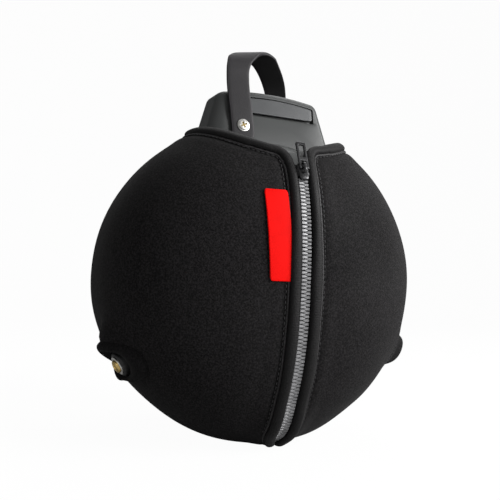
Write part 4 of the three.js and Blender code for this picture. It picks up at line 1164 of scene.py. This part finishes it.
def strap_part(width, thick):
    """Strap: a flat profile with rounded edges carried along its line. Its width keeps its own turn and tilt,
    smoothed by a running mean, and is lengthened where it isn't square to the line. The corners of its ends
    are rounded off by a quarter circle."""
    count, mean, corner, least_square = 240, 13, 6.0, 0.78
    rows = strap_rows(thick)
    line = spline(rows[:, :3], count)
    chord = running(rows[:, :3])
    turns = np.radians(sampled(np.linspace(0, chord[-1], count), chord, rows[:, 3:]))
    padded = np.pad(turns, ((mean // 2, mean // 2), (0, 0)), "edge")
    turn, tilt = (np.convolve(column, np.ones(mean) / mean, "valid") for column in padded.T)
    across = unit(np.stack([np.cos(turn), -np.sin(turn), np.tan(tilt)], axis=1))
    outward = np.cross(across, heading(line))
    square = np.linalg.norm(outward, axis=1, keepdims=True)
    across, outward = across / np.maximum(square, least_square), outward / square
    run = running(line)
    from_end = np.minimum(np.minimum(run, run[-1] - run), corner)
    half = width / 2 - corner + np.sqrt(corner**2 - (corner - from_end) ** 2)
    angle = ring(40)
    u = half[:, None] * power(np.cos(angle), 0.22)
    w = thick / 2 * power(np.sin(angle), 0.42) * (1 - 0.06 * np.cos(2 * angle))
    return sweep(line, across, outward, u, w)


def strap_screw_place(front_side, thick):
    """Seat of a strap screw on the strap: its middle, two directions across it and its axis."""
    if front_side:
        axis = unit(np.array([0, -1, NECK_LEAN]))
        line = np.array([STRAP_FRONT_X, neck_face(SCREW_FRONT_Z) - STRAP_STAND - thick / 2, SCREW_FRONT_Z])
    else:
        axis = np.array([0.0, 1, 0])
        line = np.array([STRAP_BACK_X, NECK_FRONT + NECK_DEPTH + STRAP_STAND + thick / 2, SCREW_BACK_Z])
    cross_turn = math.radians(24 if front_side else 70)
    right = unit(np.cross([0, 0, 1.0], axis))
    across = math.cos(cross_turn) * right + math.sin(cross_turn) * np.cross(axis, right)
    return line + axis * (thick / 2 + 0.05), across, np.cross(axis, across), axis


def port_collar(side):
    """Collar of a port: a profile carried round the boss, over the lens. Each row of it is a share of the way
    from hole to foot (below nought from hole to boss), a share of the lip's height and an added height. The
    left collar is a cup with its lip near the foot, and the right one is pushed up from its hole."""
    middle, up, ahead, axis = place = port_place(side)
    cup = [
        (1.05, 0, -1.2), (1.06, 0.12, 0.3), (1.06, 0.35, 0.4), (1.03, 0.6, 0.4), (0.97, 0.82, 0.3),
        (0.9, 0.94, 0.1), (0.8, 0.99, 0), (0.7, 1, 0), (0.6, 0.97, 0), (0.51, 0.9, 0), (0.43, 0.8, 0),
        (0.35, 0.68, 0), (0.27, 0.56, 0), (0.19, 0.43, 0), (0.11, 0.3, 0), (0.04, 0.18, -0.1),
    ]
    pushed_up = [
        (1.05, 0, -1.2), (1.05, 0.0, 0.3), (1.02, 0.02, 1.1), (0.97, 0.05, 1.7), (0.91, 0.08, 2.0),
        (0.84, 0.12, 1.8), (0.77, 0.19, 1.2), (0.68, 0.32, 0.5), (0.58, 0.52, 0), (0.49, 0.73, 0),
        (0.41, 0.89, 0), (0.33, 0.98, 0), (0.25, 1.0, 0), (0.16, 0.97, 0), (0.09, 0.88, 0), (0.04, 0.72, 0),
        (0.01, 0.5, 0), (0.0, 0.25, 0),
    ]
    inside = [
        (-0.1, 0.05, -0.4), (-0.4, 0, -1.5), (-1, 0, -2.2), (-1, 0, -4.5), (0.6, 0, -4.5), (1.05, 0, -3.4),
        (1.05, 0, -1.2),
    ]
    profile = np.array((cup if side < 0 else pushed_up) + inside)
    turn = ring(120)
    hole, foot, lip = collar_sizes(side, np.cos(turn), np.sin(turn))
    reach = profile[:, 0, None]
    r = hole + np.where(reach < 0, hole - BOSS_RADIUS - 0.15, foot - hole) * reach
    x, y = r * np.cos(turn), r * np.sin(turn)
    h = profile[:, 1, None] * lip + profile[:, 2, None] + lens_drop(place, x, y)
    return grid(middle + x[..., None] * up + y[..., None] * ahead + h[..., None] * axis)


def port_stitches(side, length):
    """Ring of stitches on the collar's foot."""
    middle, up, ahead, axis = place = port_place(side)
    turn = ring(239)
    reach = 0.99 * collar_sizes(side, np.cos(turn), np.sin(turn))[1]
    x, y = reach * np.cos(turn), reach * np.sin(turn)
    rise = lens_drop(place, x, y) + 1.75
    line = middle + x[:, None] * up + y[:, None] * ahead + rise[:, None] * axis
    radial = np.cos(turn)[:, None] * up + np.sin(turn)[:, None] * ahead
    outward = np.tile(axis, (len(turn), 1))
    return stitch_parts(line, radial, outward, length * 0.8, gap=1.0, thick=0.4)


class BAG_OT_cover(Operator):
    """Builds the two neoprene halves of the cover"""

    bl_idname = "carry_bag.cover"
    bl_label = "Cover"

    def execute(self, context):
        colours, shape = context.scene.bag_colours, context.scene.bag_shape
        cloth = cloth_finish("Neoprene", colours.neoprene)
        thread = thread_finish("Seam thread", colours.thread)
        for name, side in SIDES:
            part = cover_half(side)
            piece = make(f"cover_{name}", [part], cloth, [f"panel_{name}"], sharp=60)
            wall = piece.modifiers.new("Wall", "SOLIDIFY")
            wall.thickness = shape.wall
            wall.offset = -1
            make(f"seam_stitches_{name}", [seam_stitches(side, shape.stitch / MM)], thread)
        return {"FINISHED"}


class BAG_OT_edges(Operator):
    """Builds the rolled edges along the zip and round the mouth, with their stitches"""

    bl_idname = "carry_bag.edges"
    bl_label = "Rolled edges"

    def execute(self, context):
        colours, shape = context.scene.bag_colours, context.scene.bag_shape
        cloth = cloth_finish("Rolled edge", colours.roll, ribs=2.2, gloss=0.16, roughness=0.55)
        # Painted highlight: the seam bead is three times lighter and glossier than the rolled edge, for the
        # bright line along its crest
        bead_painted_highlight = cloth_finish("Edge piping", scaled(colours.roll, 3), gloss=0.3, roughness=0.5)
        thread = thread_finish("Edge thread", scaled(colours.thread, 0.6))
        width, height = shape.roll_width / MM, shape.roll_height / MM
        for name, side in SIDES:
            roll, bead = roll_parts(side, width, height)
            padded = make(f"roll_{name}", [roll], cloth, [f"binding_{name}"], sharp=60)
            make(f"edge_bead_{name}", [bead], bead_painted_highlight, [f"binding_{name}"], sharp=60)
            stitches = edge_stitches(side, width, shape.stitch / MM)
            make(f"edge_stitches_{name}", [stitches], thread)
        return {"FINISHED"}


class BAG_OT_zip(Operator):
    """Builds the zip's tapes and moulded teeth"""

    bl_idname = "carry_bag.zip"
    bl_label = "Zip"

    def execute(self, context):
        colours, shape = context.scene.bag_colours, context.scene.bag_shape
        woven = cloth_finish("Zip tape", colours.tape, ribs=0.9)
        moulded = moulded_finish(
            "Zip teeth", colours.teeth, roughness=0.34, grain=1400.0, depth=0.0001, tone_scale=160.0,
            spread=1.15)
        for name, side in SIDES:
            make(f"tape_{name}", [tape_part(side)], woven, [f"zip_{name}"], sharp=50)
            teeth = teeth_part(side, shape.tooth_pitch / MM)
            make(f"teeth_{name}", [teeth], moulded, [f"zip_{name}"])
        return {"FINISHED"}


class BAG_OT_slider(Operator):
    """Builds the slider and its hinged pull"""

    bl_idname = "carry_bag.slider"
    bl_label = "Slider and pull"

    def execute(self, context):
        colours = context.scene.bag_colours
        paint = moulded_finish(
            "Slider paint", colours.slider, roughness=0.26, grain=1500.0, depth=0.00008, metal=0.35,
            tone_scale=120.0)
        make("slider_body", slider_parts(), paint, ["zip_slider"])
        make("pull_tab", pull_parts(), paint, ["zip_pull"], body="pull")
        return {"FINISHED"}


class BAG_OT_label(Operator):
    """Builds the bare rubber label"""

    bl_idname = "carry_bag.label"
    bl_label = "Label"

    def execute(self, context):
        colour = context.scene.bag_colours.label
        rubber = moulded_finish(
            "Label rubber", colour, roughness=0.5, grain=900.0, depth=0.00012, tone_scale=60.0, spread=1.05,
            gloss=0.05)
        make("rubber_label", [label_part()], rubber, ["label"], sharp=70)
        return {"FINISHED"}


class BAG_OT_neck(Operator):
    """Builds the neck, the deck round its foot and the bare plate"""

    bl_idname = "carry_bag.neck"
    bl_label = "Neck"

    def execute(self, context):
        colours = context.scene.bag_colours
        satin = moulded_finish(
            "Neck satin", colours.neck, roughness=0.46, grain=1300.0, depth=0.00012, tone_scale=16.0,
            spread=1.1)
        plate = moulded_finish(
            "Plate satin", colours.plate, roughness=0.4, grain=1300.0, depth=0.0001, tone_scale=30.0,
            spread=1.1)
        make("neck_shell", [neck_part()], satin, ["neck"], sharp=35)
        make("neck_deck", [deck_part()], satin, ["neck"], sharp=35)
        make("front_plate", [plate_part()], plate, ["neck_plate"], sharp=60)
        return {"FINISHED"}


class BAG_OT_strap(Operator):
    """Builds the leather strap and its two screws"""

    bl_idname = "carry_bag.strap"
    bl_label = "Strap"

    def execute(self, context):
        colours, shape = context.scene.bag_colours, context.scene.bag_shape
        leather = leather_finish("Strap leather", colours.strap)
        steel = metal_finish("Screw steel", scaled(colours.steel, 0.8), roughness=0.3)
        tarnish = metal_finish("Screw recess", scaled(colours.brass, 0.3), roughness=0.45)
        width, thick = shape.strap_width / MM, shape.strap_thick / MM
        make("carry_strap", [strap_part(width, thick)], leather, ["strap"], sharp=60)
        for name, first in (("front", True), ("back", False)):
            place = strap_screw_place(first, thick)
            washer = turned([(0, 0), (6.2, 0), (6.3, 0.25), (6.1, 0.75), (5.4, 0.95), (0, 0.95)], place)
            head = screw_head(shifted_place(place, 0.9), radius=5.2, rim=0.5, dome=0.9, cross=3.5, deep=1.1)
            make(f"strap_bolt_{name}", [washer, head], steel, [f"strap_screw_{name}"], sharp=38)
            recess = [
                set_in(rounded_block((-x, -y, 0.6), (x, y, 1.5), square=0.3, columns=20, rows=8), place)
                for x, y in ((3.2, 0.6), (0.6, 3.2))
            ]
            make(f"strap_bolt_cross_{name}", recess, tarnish, [f"strap_screw_{name}"], sharp=38)
        return {"FINISHED"}


class BAG_OT_ports(Operator):
    """Builds the two side ports: collar, boss, washer and screw"""

    bl_idname = "carry_bag.ports"
    bl_label = "Side ports"

    def execute(self, context):
        colours, shape = context.scene.bag_colours, context.scene.bag_shape
        cloth = cloth_finish("Port neoprene", colours.roll)
        black = moulded_finish("Boss black", colours.boss, roughness=0.45, grain=1100.0, depth=0.0001)
        brass = metal_finish("Port brass", colours.brass, roughness=0.2)
        steel = metal_finish("Port washer", colours.steel, roughness=0.18)
        thread = thread_finish("Port thread", colours.thread)
        for name, side in SIDES:
            place = port_place(side)
            nodes = [f"port_rim_{name}"]
            collar = make(f"port_collar_{name}", [port_collar(side)], cloth, nodes, sharp=60)
            make(f"port_stitches_{name}", [port_stitches(side, shape.stitch / MM)], thread)
            rise = BOSS_TOP + (BOSS_LEFT_EXTRA if side < 0 else 0)
            radius, foot = BOSS_RADIUS - 0.1, -7
            stud = turned([(0, foot), (radius, foot), (radius, rise - 1.9), (12.1, rise - 0.9),
                           (11.2, rise - 0.2), (10.4, rise), (0, rise)], place)
            make(f"port_stud_{name}", [stud], black, [f"port_boss_{name}"], sharp=50)
            seat = shifted_place(place, rise + 0.05)
            washer = turned([(0, 0), (9.1, 0), (9.2, 0.3), (9.0, 0.9), (8.3, 1.15), (6.2, 1.15), (0, 1.15)],
                            seat)
            make(f"port_washer_{name}", [washer], steel, [f"port_screw_{name}"], sharp=50)
            head = screw_head(shifted_place(seat, 1.1), radius=6.3, rim=0.7, dome=2.1, cross=3.6, deep=1.3)
            make(f"port_bolt_{name}", [head], brass, [f"port_screw_{name}"], sharp=38)
        return {"FINISHED"}


class BAG_OT_stage(Operator):
    """Builds the pale floor, the soft lights and the camera at the photo's angle"""

    bl_idname = "carry_bag.stage"
    bl_label = "Stage"

    def execute(self, context):
        stage = context.scene.bag_stage
        context.scene.view_settings.view_transform = "Standard"
        self.floor(context, stage)
        self.lights(context, stage)
        self.camera(context)
        return {"FINISHED"}

    def floor(self, context, stage):
        """Floor that sweeps up behind the bag: a quarter circle between a level and an upright run. To the
        camera it is mostly an even pale glow, and to bounced light a grey face."""
        front_end, radius, height, half_width = -6.0, 1.6, 5.0, 7
        bend = np.linspace(0, np.pi / 2, 24)
        y = np.r_[front_end, radius + radius * np.sin(bend), 2 * radius][:, None]
        z = np.r_[0.0, radius - radius * np.cos(bend), height][:, None]
        x = np.linspace(-half_width, half_width, 3)
        flat, faces, _ = grid(np.stack(np.broadcast_arrays(x, y, z), axis=-1))
        mesh = bpy.data.meshes.new("floor")
        mesh.from_pydata(flat.tolist(), [], faces.tolist())
        mesh.polygons.foreach_set("use_smooth", np.ones(len(mesh.polygons), bool))
        colour = (*stage.floor, 1)
        finish = Finish("Floor", Roughness=0.9, **{"Base Color": colour, "Specular IOR Level": 0.1})
        glow = finish.tree.nodes.new("ShaderNodeEmission")
        glow.inputs["Strength"].default_value = 1.04
        seen = finish.tree.nodes.new("ShaderNodeLightPath")
        mix = finish.tree.nodes.new("ShaderNodeMixShader")
        share = math_node(finish.tree, "MULTIPLY", seen.outputs["Is Camera Ray"], 0.93)
        out = finish.tree.nodes["Material Output"]
        finish.tree.links.new(share, mix.inputs["Fac"])
        finish.tree.links.new(finish.shader.outputs[0], mix.inputs[1])
        finish.tree.links.new(glow.outputs[0], mix.inputs[2])
        finish.tree.links.new(mix.outputs[0], out.inputs["Surface"])
        mesh.materials.append(finish.material)
        floor = bpy.data.objects.new("floor", mesh)
        context.collection.objects.link(floor)

    def lights(self, context, stage):
        """Large soft light at the right, a weak one at the left and one above, over a dim even world."""
        target = Vector((0, -0.02, 0.19))
        for name, power_w, size, spot in (
            ("key", stage.key, 0.9, (1.15, -0.95, 0.75)),
            ("fill", stage.fill, 1.4, (-1.3, -1.5, 0.8)),
            ("rim", stage.rim, 1.0, (0.4, 0.35, 1.6)),
        ):
            data = bpy.data.lights.new(name, "AREA")
            data.energy = power_w
            data.size = size
            lamp = bpy.data.objects.new(name, data)
            context.collection.objects.link(lamp)
            lamp.location = spot
            lamp.rotation_euler = (target - Vector(spot)).to_track_quat("-Z", "Y").to_euler()
        world = bpy.data.worlds.new("Studio")
        world.use_nodes = True
        background = world.node_tree.nodes["Background"]
        background.inputs["Color"].default_value = (1, 1, 1, 1)
        background.inputs["Strength"].default_value = 0.35
        context.scene.world = world

    def camera(self, context):
        """Camera level with the bag's middle, to the left of the zip, with the photo's slight roll."""
        away, raised, turn, roll = 0.646, 0.0006, math.radians(22.5), math.radians(2.1)
        ahead = Vector((math.sin(turn), math.cos(turn), 0))
        level, up = Vector((math.cos(turn), -math.sin(turn), 0)), Vector((0, 0, 1))
        right = level * math.cos(roll) + up * math.sin(roll)
        above = up * math.cos(roll) - level * math.sin(roll)
        data = bpy.data.cameras.new("camera")
        data.sensor_width = 36
        data.lens = PHOTO_FOCAL / PHOTO_SIDE * data.sensor_width
        data.shift_y = PHOTO_DROP / PHOTO_SIDE
        data.clip_start = 0.01
        lens = bpy.data.objects.new("camera", data)
        context.collection.objects.link(lens)
        spot = -ahead * away + Vector((0, 0, CENTRE_Z * MM + raised))
        lens.matrix_world = Matrix.Translation(spot) @ Matrix((right, above, -ahead)).transposed().to_4x4()
        context.scene.camera = lens


class BAG_PT_panel(Panel):
    """Lists the bag's builders and their sizes and colours"""

    bl_label = "Carry bag"
    bl_idname = "BAG_PT_panel"
    bl_space_type = "VIEW_3D"
    bl_region_type = "UI"
    bl_category = "Carry bag"

    def draw(self, context):
        for operator in OPERATORS:
            self.layout.operator(operator.bl_idname)
        for group in (context.scene.bag_shape, context.scene.bag_colours, context.scene.bag_stage):
            box = self.layout.box()
            for label in group.__annotations__:
                box.prop(group, label)


OPERATORS = (
    BAG_OT_stage, BAG_OT_cover, BAG_OT_edges, BAG_OT_zip, BAG_OT_slider, BAG_OT_label, BAG_OT_neck,
    BAG_OT_strap, BAG_OT_ports,
)
CLASSES = (BagShape, BagColours, BagStage, *OPERATORS, BAG_PT_panel)


def register():
    for item in CLASSES:
        bpy.utils.register_class(item)
    bpy.types.Scene.bag_shape = PointerProperty(type=BagShape)
    bpy.types.Scene.bag_colours = PointerProperty(type=BagColours)
    bpy.types.Scene.bag_stage = PointerProperty(type=BagStage)


def unregister():
    del bpy.types.Scene.bag_shape, bpy.types.Scene.bag_colours, bpy.types.Scene.bag_stage
    for item in reversed(CLASSES):
        bpy.utils.unregister_class(item)


def main():
    register()
    bpy.ops.carry_bag.stage()
    bpy.ops.carry_bag.cover()
    bpy.ops.carry_bag.edges()
    bpy.ops.carry_bag.zip()
    bpy.ops.carry_bag.slider()
    bpy.ops.carry_bag.label()
    bpy.ops.carry_bag.neck()
    bpy.ops.carry_bag.strap()
    bpy.ops.carry_bag.ports()


if __name__ == "__main__":
    main()
